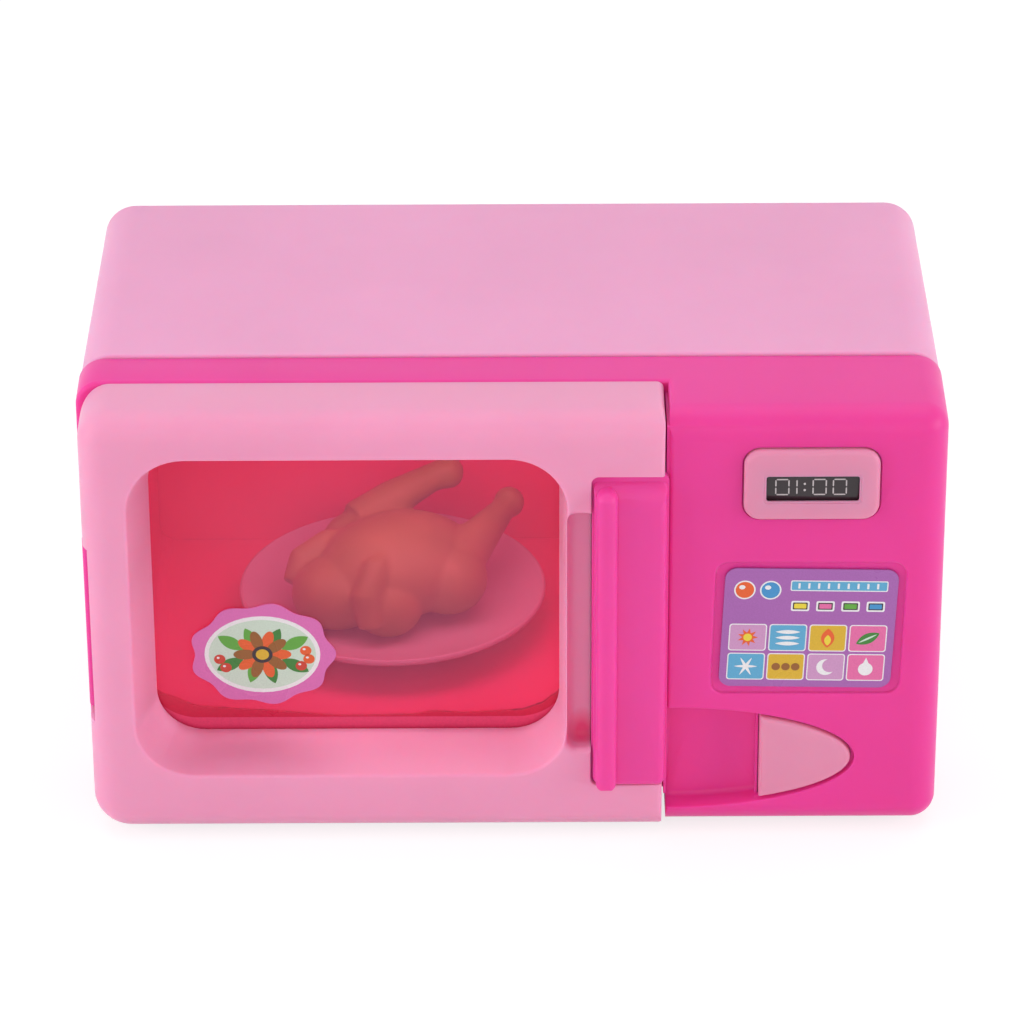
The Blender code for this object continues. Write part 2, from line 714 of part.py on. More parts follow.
def make_oven_liner(look):
    outer_box = grown(OVEN, LINER_WALL)
    outer_corner = OVEN_CORNER + LINER_WALL
    liner = slab("oven_liner", outer_box, outer_corner, OVEN_FRONT, LINER_BACK)
    inner = slab("inner", OVEN, OVEN_CORNER, OVEN_FRONT - OVERSHOOT, OVEN_BACK)
    floor = OVEN[2]
    spindle_hole = cylinder(
        "spindle_hole",
        (TABLE_X, TABLE_Y, 0),
        "Z",
        SPINDLE_RADIUS + GAP,
        floor - LINER_WALL - OVERSHOOT,
        floor + OVERSHOOT,
        TURNED_SIDES,
    )
    cut(liner, inner, spindle_hole)
    holes = []
    for x in LINER_SCREW_X:
        holes.append(screw_hole(x, LINER_SCREW_Z, OVEN_BACK - OVERSHOOT, LINER_BACK + OVERSHOOT))
    cut(liner, *holes)
    return finish(liner, look)


def make_display():
    front = FRONT - BEZEL_PROUD
    flange_front = FRONT + WALL + GAP
    rounds = (SMALL_ROUND,) * 4
    bezel = rounded_front(
        "display_bezel", BEZEL, (BEZEL_CORNER,) * 4, rounds, front, flange_front + LIP_ROOT
    )
    left, right, low, high = BEZEL
    flange_box = (left + BEZEL_FLANGE, right - BEZEL_FLANGE, low - BEZEL_FLANGE, high + BEZEL_FLANGE)
    fuse(bezel, slab("flange", flange_box, BEZEL_CORNER, flange_front, FRONT + BEZEL_DEPTH - GAP))

    plate_front = front + DISPLAY_SUNK
    pocket_front = plate_front - GAP
    pocket_box = grown(DISPLAY, DISPLAY_MARGIN + GAP)
    opening = slab("opening", DISPLAY, DISPLAY_CORNER, front - OVERSHOOT, pocket_front + OVERSHOOT, 2)
    pocket = block("pocket", pocket_box, pocket_front, FRONT + BEZEL_DEPTH + OVERSHOOT)
    cut(bezel, opening, pocket)
    plate_back = plate_front + DISPLAY_THICK
    plate = block("display_plate", grown(DISPLAY, DISPLAY_MARGIN), plate_front, plate_back)
    finish(bezel, material("bezel_pink", PALE_PINK))
    finish(plate, material("display_black", (0.02, 0.015, 0.02), 0.2))


def make_control_label():
    back = FRONT + LABEL_RECESS_DEPTH - GLUE_GAP
    outline = leaning(LABEL, LABEL_CORNER, LABEL_LEAN)
    label = prism("control_label", outline, back - LABEL_THICK, back)
    return finish(label, material("label_purple", (0.33, 0.13, 0.45), 0.4))


def button_ring(inset, y):
    outline = scoop_outline(-BUTTON_CLEAR - inset, BUTTON_LEFT + inset)
    return at_depth(outline, y)


def make_release_button():
    front = FRONT - BUTTON_PROUD
    rings = []
    for depth in edge_depths(BUTTON_ROUND, 3):
        rings.append(button_ring(round_inset(BUTTON_ROUND, depth), front + depth))
    rings.append(button_ring(0.0, BUTTON_BACK))
    button = loft("release_button", rings)
    flange_front = FRONT + WALL + GAP
    flange_outline = scoop_outline(BUTTON_FLANGE - BUTTON_CLEAR, BUTTON_LEFT + BUTTON_CLEAR)
    flange = prism("flange", flange_outline, flange_front, flange_front + BUTTON_FLANGE_THICK)
    stem_place = (STEM_X, 0, STEM_Z)
    stem = cylinder("stem", stem_place, "Y", STEM_RADIUS, BUTTON_BACK - OVERLAP, STEM_END)
    fuse(button, flange, stem)
    finish(button, material("button_pink", PALE_PINK))
    hang([button], "button_axis", (STEM_X, FRONT, STEM_Z))


def make_button_spring():
    start = BUTTON_BACK + GAP + SPRING_WIRE
    end = BRACKET_FRONT - GAP - SPRING_WIRE
    steps = SPRING_TURNS * SPRING_POINTS
    points = []
    for step in range(steps + 1):
        angle = 2 * math.pi * step / SPRING_POINTS
        x = STEM_X + SPRING_RADIUS * math.cos(angle)
        z = STEM_Z + SPRING_RADIUS * math.sin(angle)
        points.append((x, start + (end - start) * step / steps, z))
    spring = tube("button_spring", points, [SPRING_WIRE] * len(points), SPRING_SIDES)
    return finish(spring, material("spring_steel", (0.6, 0.6, 0.62), 0.25, 1.0))


def make_latch_bracket():
    """A plate behind the button, with two ears that the rocker's shaft snaps into."""
    bracket = slab("latch_bracket", BRACKET, BRACKET_CORNER, BRACKET_FRONT, BRACKET_BACK, 3)
    ears = []
    for x in EAR_X:
        ear_box = (x, x + EAR_THICK, ROCKER_Z - EAR_BELOW, ROCKER_Z + EAR_ABOVE)
        ears.append(block("ear", ear_box, BRACKET_BACK - OVERLAP, EAR_BACK))
    fuse(bracket, *ears)

    before, behind = BRACKET_FRONT - OVERSHOOT, BRACKET_BACK + OVERSHOOT
    left, right = EAR_X[0] - OVERSHOOT, EAR_X[1] + EAR_THICK + OVERSHOOT
    shaft_place = (0, ROCKER_Y, ROCKER_Z)
    snap_half = ROCKER_RADIUS - SNAP_NARROWING
    snap_box = (left, right, ROCKER_Z - snap_half, ROCKER_Z + snap_half)
    holes = [
        cylinder("bearing", shaft_place, "X", ROCKER_RADIUS + GAP, left, right),
        block("snap_mouth", snap_box, ROCKER_Y, EAR_BACK + OVERSHOOT),
        cylinder("stem_hole", (STEM_X, 0, STEM_Z), "Y", STEM_RADIUS + GAP, before, behind),
    ]
    for x in BRACKET_SCREW_X:
        holes.append(screw_hole(x, BRACKET_SCREW_Z, before, behind))
    cut(bracket, *holes)
    return finish(bracket, latch_white())


def make_latch_rocker():
    """Shaft along X with a toothed arm under the door's catch and an arm behind the button's stem."""
    shaft_place = (0, ROCKER_Y, ROCKER_Z)
    rocker = cylinder("latch_rocker", shaft_place, "X", ROCKER_RADIUS, ROCKER_LEFT, ROCKER_RIGHT)
    arm_box = (ROCKER_LEFT, TOOTH_RIGHT, ARM_HIGH - ARM_DEPTH, ARM_HIGH)
    tooth_box = (ROCKER_LEFT + SIDE_STEP, TOOTH_RIGHT - SIDE_STEP, ARM_HIGH - OVERLAP, TOOTH_TOP)
    push_front = STEM_END + GAP
    push_left, push_right = STEM_X - PUSH_ARM_HALF, STEM_X + PUSH_ARM_HALF
    push_box = (push_left, push_right, PUSH_ARM_LOW, ROCKER_Z)
    root_box = (push_left + SIDE_STEP, push_right - SIDE_STEP, *PUSH_ROOT)
    fuse(
        rocker,
        block("toothed_arm", arm_box, ARM_FRONT, ROCKER_Y),
        block("tooth", tooth_box, TOOTH_FRONT, TOOTH_FRONT + TOOTH_THICK),
        block("push_arm", push_box, push_front, push_front + PUSH_ARM_THICK),
        block("push_root", root_box, push_front + GAP, ROCKER_Y),
    )
    finish(rocker, latch_white())
    hang([rocker], "latch_axis", shaft_place)


def make_dish(centre):
    """The turntable's dish, with a foot ring and a hub under it."""
    hub = SPINDLE_RADIUS + HUB_WALL
    ring_in, ring_out = 13.0 * MM, 14.5 * MM
    well_radius = 15.5 * MM
    profile = (
        (PLATE_LOW, hub),
        (PLATE_LOW + PLATE_THIN, hub),
        (PLATE_LOW + PLATE_THIN, ring_in - OVERLAP),
        (PLATE_LOW, ring_in),
        (PLATE_LOW, ring_out),
        (PLATE_LOW + 1.6 * MM, well_radius),
        (PLATE_RIM - 2.1 * MM, PLATE_RADIUS - 4.0 * MM),
        (PLATE_RIM - 0.8 * MM, PLATE_RADIUS - 0.4 * MM),
        (PLATE_RIM - 0.3 * MM, PLATE_RADIUS),
        (PLATE_RIM, PLATE_RADIUS - 0.4 * MM),
        (PLATE_RIM - 0.3 * MM, PLATE_RADIUS - 1.2 * MM),
        (PLATE_WELL + 0.8 * MM, PLATE_RADIUS - 6.5 * MM),
        (PLATE_WELL, well_radius),
        (PLATE_WELL, hub),
    )
    plate = turned("turntable_plate", centre, "Z", profile, PLATE_SIDES)
    socket_radius = SPINDLE_RADIUS + GAP
    socket = cylinder("socket", centre, "Z", socket_radius, PLATE_LOW - OVERSHOOT, SPINDLE_HIGH + GAP)
    cut(plate, socket)
    return finish(plate, material("dish_white", (0.86, 0.82, 0.82), 0.3))


def make_spindle(centre):
    shoulder = SPINDLE_LOW + SPINDLE_FLANGE_THICK
    profile = (
        (SPINDLE_LOW, SPINDLE_FLANGE),
        (shoulder, SPINDLE_FLANGE),
        (shoulder, SPINDLE_RADIUS),
        (SPINDLE_HIGH, SPINDLE_RADIUS),
    )
    return finish(turned("turntable_spindle", centre, "Z", profile, POST_SIDES), latch_white())


def make_turntable():
    centre = (TABLE_X, TABLE_Y, 0)
    hang([make_dish(centre), make_spindle(centre), make_roast_chicken()], "turntable_axis", centre)


def limb(name, places, radii):
    """A tapering round limb through places on the dish, in millimetres."""
    return tube(name, [on_dish(*place) for place in places], [radius * MM for radius in radii], LIMB_SIDES)


def lump(name, place, radii, turn, sides=14, bands=9):
    """A rounded lump at a place on the dish, in millimetres."""
    return ellipsoid(name, on_dish(*place), [radius * MM for radius in radii], turn, sides, bands)


def on_dish(x, y, height):
    """A place measured in millimetres from the middle of the dish's well."""
    return TABLE_X + x * MM, TABLE_Y + y * MM, PLATE_WELL + GAP + height * MM


def make_roast_chicken():
    """Toy roast chicken, breast towards the door's left and legs towards the back right."""
    chicken = lump("roast_chicken", (1, -2, 7.4), (14.5, 12, 8.6), 0.5, 16, 10)
    right_leg = [(11, -2, 8), (15.5, 4, 10), (19, 9.5, 11.6), (21, 12.5, 12.2)]
    rear_leg = [(-6, 6, 11), (0, 10, 13), (6, 12.5, 14.5), (9.5, 13.8, 15)]
    front_wing = [(-3.2, -16.4, 3), (-4, -14.8, 8), (-2.5, -11.5, 12.2), (-0.5, -8.5, 13.4)]
    left_wing = [(-17, -5.5, 5.5), (-15.5, -2.5, 8.6), (-11, 1, 10.4), (-7, 2.5, 11)]
    parts = [
        lump("breast_left", (-9, -7.5, 5.4), (8.6, 8.2, 6.4), 0.6),
        lump("breast_right", (-0.5, -11.5, 4.8), (6.4, 6.0, 5.6), 0.2),
        lump("thigh", (9.5, -4.5, 6.2), (7.2, 7.6, 6.4), 0.3),
        lump("thigh_rear", (-5, 6, 8.4), (7.6, 5.4, 5.2), 0.3),
        limb("leg", right_leg, (5.2, 3.4, 2.3, 2.9)),
        limb("leg_rear", rear_leg, (4.2, 3.4, 2.6, 3.0)),
        limb("wing", front_wing, (2.6, 3.0, 2.4, 1.2)),
        limb("wing_left", left_wing, (2.2, 2.8, 2.4, 1.4)),
    ]
    fuse(chicken, *parts)
    resting = PLATE_WELL + GAP
    below = (TABLE_X - PLATE_RADIUS, TABLE_X + PLATE_RADIUS, 0, resting)
    cut(chicken, block("underside", below, TABLE_Y - PLATE_RADIUS, TABLE_Y + PLATE_RADIUS))
    return finish(chicken, material("roast_beige", (0.78, 0.62, 0.36), 0.5))


def door_cutters():
    """The window with its seat, the handle's rebate, the finger recess and the hollows behind."""
    before = DOOR_FRONT - OVERSHOOT
    behind = DOOR_BACK + OVERSHOOT
    front_radii = (WINDOW_FRONT_CORNER,) * 4
    window = loft(
        "window",
        [
            at_depth(rounded_rect(grown(WINDOW_FRONT, WINDOW_FLARE), front_radii), before),
            at_depth(rounded_rect(WINDOW_FRONT, front_radii), DOOR_FRONT + SMALLEST_RADIUS),
            at_depth(rounded_rect(WINDOW_BACK, (WINDOW_BACK_CORNER,) * 4), SEAT_Y + OVERSHOOT),
        ],
    )
    return [
        window,
        slab("seat", SEAT, SEAT_CORNER, SEAT_Y, behind),
        slab("rebate", REBATE, SMALL_ROUND, before, REBATE_BACK, 3),
        slab("finger", FINGER, FINGER_CORNER, before, FINGER_BACK, 3),
        slab("pocket", POCKET, SMALL_ROUND, before, POCKET_BACK, 3),
        slab("stile", STILE, RECESS_CORNER, STILE_FRONT, behind, 2),
        slab("rail_low", RAIL_LOW, RECESS_CORNER, RAIL_FRONT, behind, 2),
        slab("rail_high", RAIL_HIGH, RECESS_CORNER, RAIL_FRONT, behind, 2),
    ]


def hinge_cutters():
    """Round the door's rear left edge about the hinge, and clear the lug, the frame and the pin."""
    behind = DOOR_BACK + OVERSHOOT
    left = DOOR_LEFT - OVERSHOOT
    corner_box = (left, HINGE_X, LOW - OVERSHOOT, HIGH + OVERSHOOT)
    corner = block("corner", corner_box, HINGE_Y, behind)
    keep = hinge_cylinder("keep", HINGE_ROUND, LOW - 2 * OVERSHOOT, HIGH + 2 * OVERSHOOT, FINE_SIDES)
    cut(corner, keep)
    relief_box = (left, DOOR_LEFT + NOTCH_RELIEF, NOTCH_LOW, NOTCH_HIGH)
    open_box = (left, HINGE_X + NOTCH_RADIUS - SIDE_STEP, NOTCH_LOW, NOTCH_HIGH)
    return [
        corner,
        hinge_cylinder("notch", NOTCH_RADIUS, NOTCH_LOW, NOTCH_HIGH, FINE_SIDES),
        block("relief", relief_box, DOOR_FRONT, behind),
        block("open_back", open_box, HINGE_Y, behind),
        hinge_cylinder("pin_bore", BORE_RADIUS, LUG_LOW - PIN_REACH - GAP, LUG_HIGH + PIN_REACH + GAP),
    ]


def stile_screw_places():
    """Where screws pass through the door's stile into the handle: two of its own, and the catch's."""
    return [(HANDLE_SCREW_X, z) for z in HANDLE_SCREW_Z] + [(CATCH_SCREW_X, CATCH_SCREW_Z)]


def make_door_shell(look):
    door = rounded_front(
        "door_shell",
        (DOOR_LEFT, DOOR_RIGHT, LOW, HIGH),
        DOOR_CORNERS,
        (EDGE_ROUND, SMALL_ROUND, EDGE_ROUND, EDGE_ROUND),
        DOOR_FRONT,
        DOOR_BACK,
    )
    holes = []
    for x, z in stile_screw_places():
        holes.append(screw_hole(x, z, REBATE_BACK - OVERSHOOT, STILE_FRONT + OVERSHOOT))
    cut(door, *door_cutters(), *hinge_cutters(), *holes)
    return finish(door, look)


def make_handle(look):
    side = HANDLE_SIDE_ROUND
    rounds = (side, side, side, HANDLE_TOP_ROUND)
    corners = (HANDLE_CORNER,) * 4
    handle = rounded_front("door_handle", HANDLE, corners, rounds, HANDLE_FRONT, HANDLE_BACK)
    fuse(handle, rounded_front("rib", RIB, RIB_CORNERS, RIB_ROUNDS, RIB_FRONT, HANDLE_FRONT + RIB_ROOT))
    holes = []
    for x, z in stile_screw_places():
        holes.append(screw_hole(x, z, HANDLE_BACK - HANDLE_HOLE_DEPTH, HANDLE_BACK + OVERSHOOT))
    cut(handle, *holes)
    return finish(handle, look)


def make_door_catch(look):
    """A foot screwed to the stile, with a tongue that hooks over the rocker's tooth."""
    foot_front = STILE_FRONT + GAP
    foot_back = foot_front + CATCH_FOOT_THICK
    catch = block("door_catch", CATCH_FOOT, foot_front, foot_back)
    tongue = block("tongue", TONGUE, foot_back - OVERLAP, TONGUE_END)
    nose_left, nose_right = TONGUE[0] + SIDE_STEP / 2, TONGUE[1] - SIDE_STEP / 2
    nose_box = (nose_left, nose_right, NOSE_LOW, TONGUE[2] + OVERLAP)
    nose = block("nose", nose_box, NOSE_FRONT, TONGUE_END - SIDE_STEP)
    fuse(catch, tongue, nose)
    cut(catch, screw_hole(CATCH_SCREW_X, CATCH_SCREW_Z, foot_front - OVERSHOOT, foot_back + OVERSHOOT))
    return finish(catch, look)


def sticker_outline():
    outline = []
    for index in range(STICKER_POINTS):
        angle = 2 * math.pi * index / STICKER_POINTS
        swell = 1 + STICKER_SWELL * math.cos(STICKER_LOBES * angle)
        x = STICKER_X + STICKER_LONG * swell * math.cos(angle)
        z = STICKER_Z + STICKER_SHORT * swell * math.sin(angle)
        outline.append((x, z))
    return outline


def make_window(film_front):
    film_box = grown(SEAT, -GAP)
    film = slab("window_film", film_box, SEAT_CORNER - GAP, film_front, film_front + FILM_THICK)
    finish(film, material("film_red", (0.75, 0.05, 0.14), 0.15, alpha=0.5))
    sticker_back = film_front - GLUE_GAP
    sticker = prism("window_sticker", sticker_outline(), sticker_back - STICKER_THICK, sticker_back)
    finish(sticker, material("sticker_lilac", (0.72, 0.16, 0.46), 0.4))
    return [film, sticker]


def make_door(light, hot):
    pieces = [make_door_shell(light), make_handle(hot), make_door_catch(light)]
    pieces += make_window(SEAT_Y + GAP)
    head_top = STILE_FRONT + GAP + HEAD_HEIGHT
    for name, z in zip(("handle_screw_lower", "handle_screw_upper"), HANDLE_SCREW_Z):
        pieces.append(screw(name, HANDLE_SCREW_X, z, head_top, -1, HANDLE_SCREW_LENGTH))
    catch_head_top = head_top + CATCH_FOOT_THICK + GAP
    pieces.append(
        screw("catch_screw", CATCH_SCREW_X, CATCH_SCREW_Z, catch_head_top, -1, SHORT_SCREW_LENGTH)
    )
    pin = hinge_cylinder("hinge_pin", PIN_RADIUS, LUG_LOW - PIN_REACH, LUG_HIGH + PIN_REACH)
    pieces.append(finish(pin, steel()))
    hang(pieces, "door_axis", (HINGE_X, HINGE_Y, 0))


def make_fixed_screws():
    """The screws of the body, the liner and the latch bracket, which stay still."""
    body_head_top = HEAD_SEAT + 2 * GAP + HEAD_HEIGHT
    places = [(x, z) for z in POST_Z for x in (-POST_X, POST_X)]
    for number, (x, z) in enumerate(places, start=1):
        screw(f"body_screw_{number}", x, z, body_head_top, -1, BODY_SCREW_LENGTH)
    liner_head_top = OVEN_BACK - GAP - HEAD_HEIGHT
    bracket_head_top = BRACKET_BACK + GAP + HEAD_HEIGHT
    for index, side in enumerate(("left", "right")):
        x = LINER_SCREW_X[index]
        name = f"liner_screw_{side}"
        screw(name, x, LINER_SCREW_Z, liner_head_top, 1, LINER_SCREW_LENGTH, LINER_SCREW_HEAD)
        x = BRACKET_SCREW_X[index]
        name = f"bracket_screw_{side}"
        screw(name, x, BRACKET_SCREW_Z, bracket_head_top, -1, SHORT_SCREW_LENGTH)


def main():
    clear_scene()
    light = material("light_pink", LIGHT_PINK)
    hot = material("hot_pink", HOT_PINK, 0.3)
    make_front_frame(hot)
    make_rear_shell(light)
    make_oven_liner(material("liner_pink", HOT_PINK, 0.4))
    make_display()
    make_control_label()
    make_release_button()
    make_button_spring()
    make_latch_bracket()
    make_latch_rocker()
    make_turntable()
    make_door(light, hot)
    make_fixed_screws()


main()
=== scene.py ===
import json
import math

import bmesh
import bpy
from mathutils import Matrix, Vector

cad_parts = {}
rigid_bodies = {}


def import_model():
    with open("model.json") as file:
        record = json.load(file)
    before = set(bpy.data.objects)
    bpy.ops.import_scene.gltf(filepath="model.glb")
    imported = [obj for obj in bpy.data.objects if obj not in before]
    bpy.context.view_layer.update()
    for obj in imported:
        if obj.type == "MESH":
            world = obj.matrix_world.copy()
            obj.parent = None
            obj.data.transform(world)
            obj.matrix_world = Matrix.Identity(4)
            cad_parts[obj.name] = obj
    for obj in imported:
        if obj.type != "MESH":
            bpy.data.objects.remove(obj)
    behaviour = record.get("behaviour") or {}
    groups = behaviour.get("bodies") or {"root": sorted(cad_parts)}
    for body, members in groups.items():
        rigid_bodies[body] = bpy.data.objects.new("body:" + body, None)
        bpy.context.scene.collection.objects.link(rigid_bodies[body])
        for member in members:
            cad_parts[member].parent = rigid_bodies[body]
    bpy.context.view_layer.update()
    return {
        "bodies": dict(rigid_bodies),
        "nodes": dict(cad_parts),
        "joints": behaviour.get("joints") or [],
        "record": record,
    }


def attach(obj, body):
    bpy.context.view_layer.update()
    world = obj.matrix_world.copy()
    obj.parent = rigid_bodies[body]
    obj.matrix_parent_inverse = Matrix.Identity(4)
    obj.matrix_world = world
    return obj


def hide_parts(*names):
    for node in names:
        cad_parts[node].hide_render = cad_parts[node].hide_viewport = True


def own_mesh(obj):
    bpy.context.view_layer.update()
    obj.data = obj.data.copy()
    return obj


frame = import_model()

# The toy's sizes and places are in millimetres. MM turns them into Blender's metres.
MM = 0.001


def area(left, right, low, high):
    """A box seen from the front, with its heights counted from the body's underside."""
    return left, right, LOW + low, LOW + high


# Body, as in the construction model
HALF = 70.5
LOW = 1.3
HIGH = LOW + 77.7
CORNER = 4.2
EDGE_ROUND = 4.5
SMALL_ROUND = 0.8
BODY = (-HALF, HALF, LOW, HIGH)
WALL = 2.0
GAP = 0.3
OVERLAP = 0.5
LEDGE = 0.42
FRONT = -37.6
DOOR_FRONT = FRONT - 1.6
HANDLE_FRONT = FRONT - 2.6
RIB_FRONT = FRONT - 4.6
BAND_FRONT = FRONT + 12.1
SEAM = FRONT + 20.8
BACK = FRONT + 79.8
DOOR_BACK = BAND_FRONT - 0.4
PLATE_BACK = BAND_FRONT + WALL

# Rear shell, and the frame's lip inside it
SHELL_INSET = 0.15
SHELL = (-HALF + SHELL_INSET, HALF - SHELL_INSET, LOW + SHELL_INSET, HIGH + 0.5)
SHELL_CORNER = 5.4
SHELL_LIP = 0.5
BACK_ROUND = 2.5
DRAFT = math.radians(0.5)
LIP_OUTSIDE = SHELL_INSET + WALL + GAP
LIP_THICK = 1.0
LIP_CORNER = SHELL_CORNER - WALL - GAP
LIP_REACH = 2.0
LIP_ROOT = 0.2
FOOT_RADIUS = 4.5
FOOT_X = 56
FOOT_Y = (-8, 34)
POST_X = 62.8
POST_Z = (LOW + 7.3, LOW + 70.6)
POSTS = [(x, z) for x in (-POST_X, POST_X) for z in POST_Z]
POST_RADIUS = 3.2
WELL_RADIUS = 2.3
WELL_FLARE = 0.5
SCREW_HOLE = 1.4
HEAD_SEAT = FRONT + 32
LINER_SCREW_X = (-50.6, 9.4)
LINER_SCREW_Z = LOW + 45.5
VENT_COUNT = 6
VENT_PITCH = 6
VENT_CENTRE_X = 30
VENT_HALF_WIDTH = 1.0
VENT_HALF_HEIGHT = 13.0
VENT_CORNER = 0.95
# Each: depth under the back, and how far the vent's outline has grown there
VENT_FLARE = ((0.7, -0.2), (0.5, 0.0), (0.2, 0.05), (-1.0, 0.3))

# Control block
BLOCK_LEFT = 25.5
BLOCK = (BLOCK_LEFT, HALF, LOW, HIGH)
BEZEL = area(37.5, 59.4, 58.8, 71.5)
BEZEL_CORNER = 2.8
BEZEL_FRONT = FRONT - 1.0
DISPLAY = area(41.1, 56.1, 62.3, 66.9)
DISPLAY_FACE = BEZEL_FRONT + 0.9
LABEL_RECESS = area(33.0, 63.9, 25.8, 50.4)
LABEL_RECESS_DEPTH = 0.6
LABEL_RECESS_LEAN = (0.026, 0.004)
LABEL = area(34.4, 62.6, 27.0, 49.2)
LABEL_LEAN = (0.044, 0.018)
SCOOP_X = 25.6
SCOOP_Z = LOW + 13.45
SCOOP_LONG = 31
SCOOP_SHORT = 9.6
SCOOP_DEPTH = 4.0
SCOOP_WALL = 1.6
BUTTON_LEFT = 40.9
BUTTON_CLEAR = 0.6
BUTTON_BACK = FRONT + 4.6
STEM_X = 48.4
STEM_RADIUS = 2.0
STEM_END = FRONT + 21.7
BRACKET_FRONT = FRONT + 14
BRACKET_SCREW_X = (33.9, 56.4)
BRACKET_SCREW_Z = LOW + 31.5
SLOT = area(18.8, 23.8, 23.7, 29.0)

# Oven
MOUTH = area(-61.6, 14.4, 12.2, 66)
TABLE_X = -20.6
TABLE_Y = FRONT + 49
PLATE_RADIUS = 26.5
PLATE_LOW = LOW + 13.2
PLATE_RIM = LOW + 18.9
PLATE_WELL = LOW + 16.2

# Door
DOOR_LEFT = -HALF + 0.9
DOOR_RIGHT = 24.8
DOOR_CORNERS = (6.2, 1.2, 1.2, 5.0)
WINDOW_FRONT = area(-61.9, 9.1, 11.35, 70.4)
WINDOW_FRONT_CORNER = 9.5
WINDOW_FRONT_EDGE = 0.6
WINDOW_BACK = area(-59.0, 7.9, 13.9, 69.4)
WINDOW_BACK_CORNER = 8.0
WINDOW_BACK_EDGE = 0.4
SEAT_Y = FRONT + 9.4
SEAT = area(-61.1, 9.9, 11.9, 71.3)
SEAT_CORNER = 9.0
FILM_THICK = 0.5
REBATE = area(13.0, 25.9, 9.15, 67.25)
REBATE_BACK = FRONT + 2.9
FINGER = area(9.1, 13.9, 16.15, 60.4)
FINGER_BACK = FRONT + 2.6
# Painted shade: a deeper pink painted round the foot of the finger recess, where shade falls, and how far it
# reaches
RECESS_SHADE_SPOT = (11.6, FINGER_BACK, LOW + 17.1)
RECESS_SHADE_REACH = (2.9, 2.2, 5.0)
STILE = area(13.6, 23.0, 4, 73.5)
STILE_FRONT = FRONT + 4.9
RAIL_LOW = area(-57.6, 6.4, 2, 9.6)
RAIL_HIGH = area(-57.6, 6.4, 73.3, 75.6)
RAIL_FRONT = FRONT + 3.4
HINGE_X = -66.1
HINGE_Y = FRONT + 8.1
HINGE_ROUND = HINGE_X - DOOR_LEFT
LUG_LOW = LOW + 21.2
LUG_HIGH = LOW + 52.9
LUG_LEFT = -69.9
LUG_RIGHT = -62.6
LUG_FRONT = FRONT + 4.4
LUG_ROUND = 1.0
NOTCH_RADIUS = 5.7
NOTCH_RELIEF = 0.9
NOTCH_LOW = LUG_LOW - 0.4
NOTCH_HIGH = LUG_HIGH + 0.4
BORE_RADIUS = 1.3
PIN_ROOM = 8.3
STILE_HOLES = ((18.9, LOW + 44), (18.9, LOW + 61), (20.3, LOW + 33.2))
HANDLE = area(13.4, 25.2, 9.5, 66.95)
HANDLE_BACK = REBATE_BACK - GAP
HANDLE_TOP_ROUND = 4.9
RIB = area(13.8, 17.2, 9.6, 65.45)
STICKER_X = -41.3
STICKER_Z = LOW + 28.2
STICKER_LONG = 11.7
STICKER_SHORT = 9.3

# Facets
ARC_STEPS = 12
ROUND_STEPS = 8
SMALLEST_RADIUS = 0.05
OVERSHOOT = 1.0
SHARP_ANGLE = math.radians(32)
BEVEL_ANGLE = math.radians(40)
MOULD_EDGE = 0.12
FINE_EDGE = 0.08


# Shapes

def in_metres(point):
    return tuple(value * MM for value in point)


def put(name, data):
    obj = bpy.data.objects.new(name, data)
    bpy.context.scene.collection.objects.link(obj)
    return obj


def add_object(name, mesh):
    bmesh.ops.recalc_face_normals(mesh, faces=mesh.faces)
    data = bpy.data.meshes.new(name)
    mesh.to_mesh(data)
    mesh.free()
    return put(name, data)


def skin(mesh, rings, closed=False):
    """Faces over rings of equally many points: capped, or closed from the last ring to the first."""
    loops = [[mesh.verts.new(in_metres(point)) for point in ring] for ring in rings]
    pairs = list(zip(loops, loops[1:]))
    if closed:
        pairs.append((loops[-1], loops[0]))
    faces = []
    for near, far in pairs:
        for index, vertex in enumerate(near):
            following = (index + 1) % len(near)
            faces.append(mesh.faces.new((vertex, near[following], far[following], far[index])))
    if not closed:
        faces += [mesh.faces.new(loops[0]), mesh.faces.new(loops[-1])]
    return faces


def loft(name, rings, closed=False):
    mesh = bmesh.new()
    skin(mesh, rings, closed)
    return add_object(name, mesh)


def baked(obj):
    graph = bpy.context.evaluated_depsgraph_get()
    shaped = bpy.data.meshes.new_from_object(obj.evaluated_get(graph))
    obj.modifiers.clear()
    obj.data = shaped
    return obj


def prune(obj):
    """Merges points that lie on each other."""
    mesh = bmesh.new()
    mesh.from_mesh(obj.data)
    bmesh.ops.remove_doubles(mesh, verts=mesh.verts, dist=0.001 * MM)
    bmesh.ops.recalc_face_normals(mesh, faces=mesh.faces)
    mesh.to_mesh(obj.data)
    mesh.free()
    return obj


def combine(base, operation, others):
    for other in others:
        modifier = base.modifiers.new(operation.title(), "BOOLEAN")
        modifier.operation = operation
        modifier.object = other
    baked(base)
    for other in others:
        bpy.data.objects.remove(other)
    return base


def fuse(base, *others):
    return combine(base, "UNION", others)


def cut(base, *others):
    return combine(base, "DIFFERENCE", others)


def rounded_rect(box, radii, steps=ARC_STEPS):
    """Outline (x, z) of left, right, low, high; radii run from the lower left corner, counter-clockwise."""
    left, right, low, high = box
    corners = ((left, low, 1, 1), (right, low, -1, 1), (right, high, -1, -1), (left, high, 1, -1))
    if not isinstance(radii, tuple):
        radii = (radii,) * 4
    outline = []
    for quarter, ((x, z, inward_x, inward_z), radius) in enumerate(zip(corners, radii)):
        radius = max(radius, SMALLEST_RADIUS)
        for step in range(steps + 1):
            angle = math.pi + (quarter + step / steps) * math.pi / 2
            across, up = inward_x + math.cos(angle), inward_z + math.sin(angle)
            outline.append((x + radius * across, z + radius * up))
    return outline


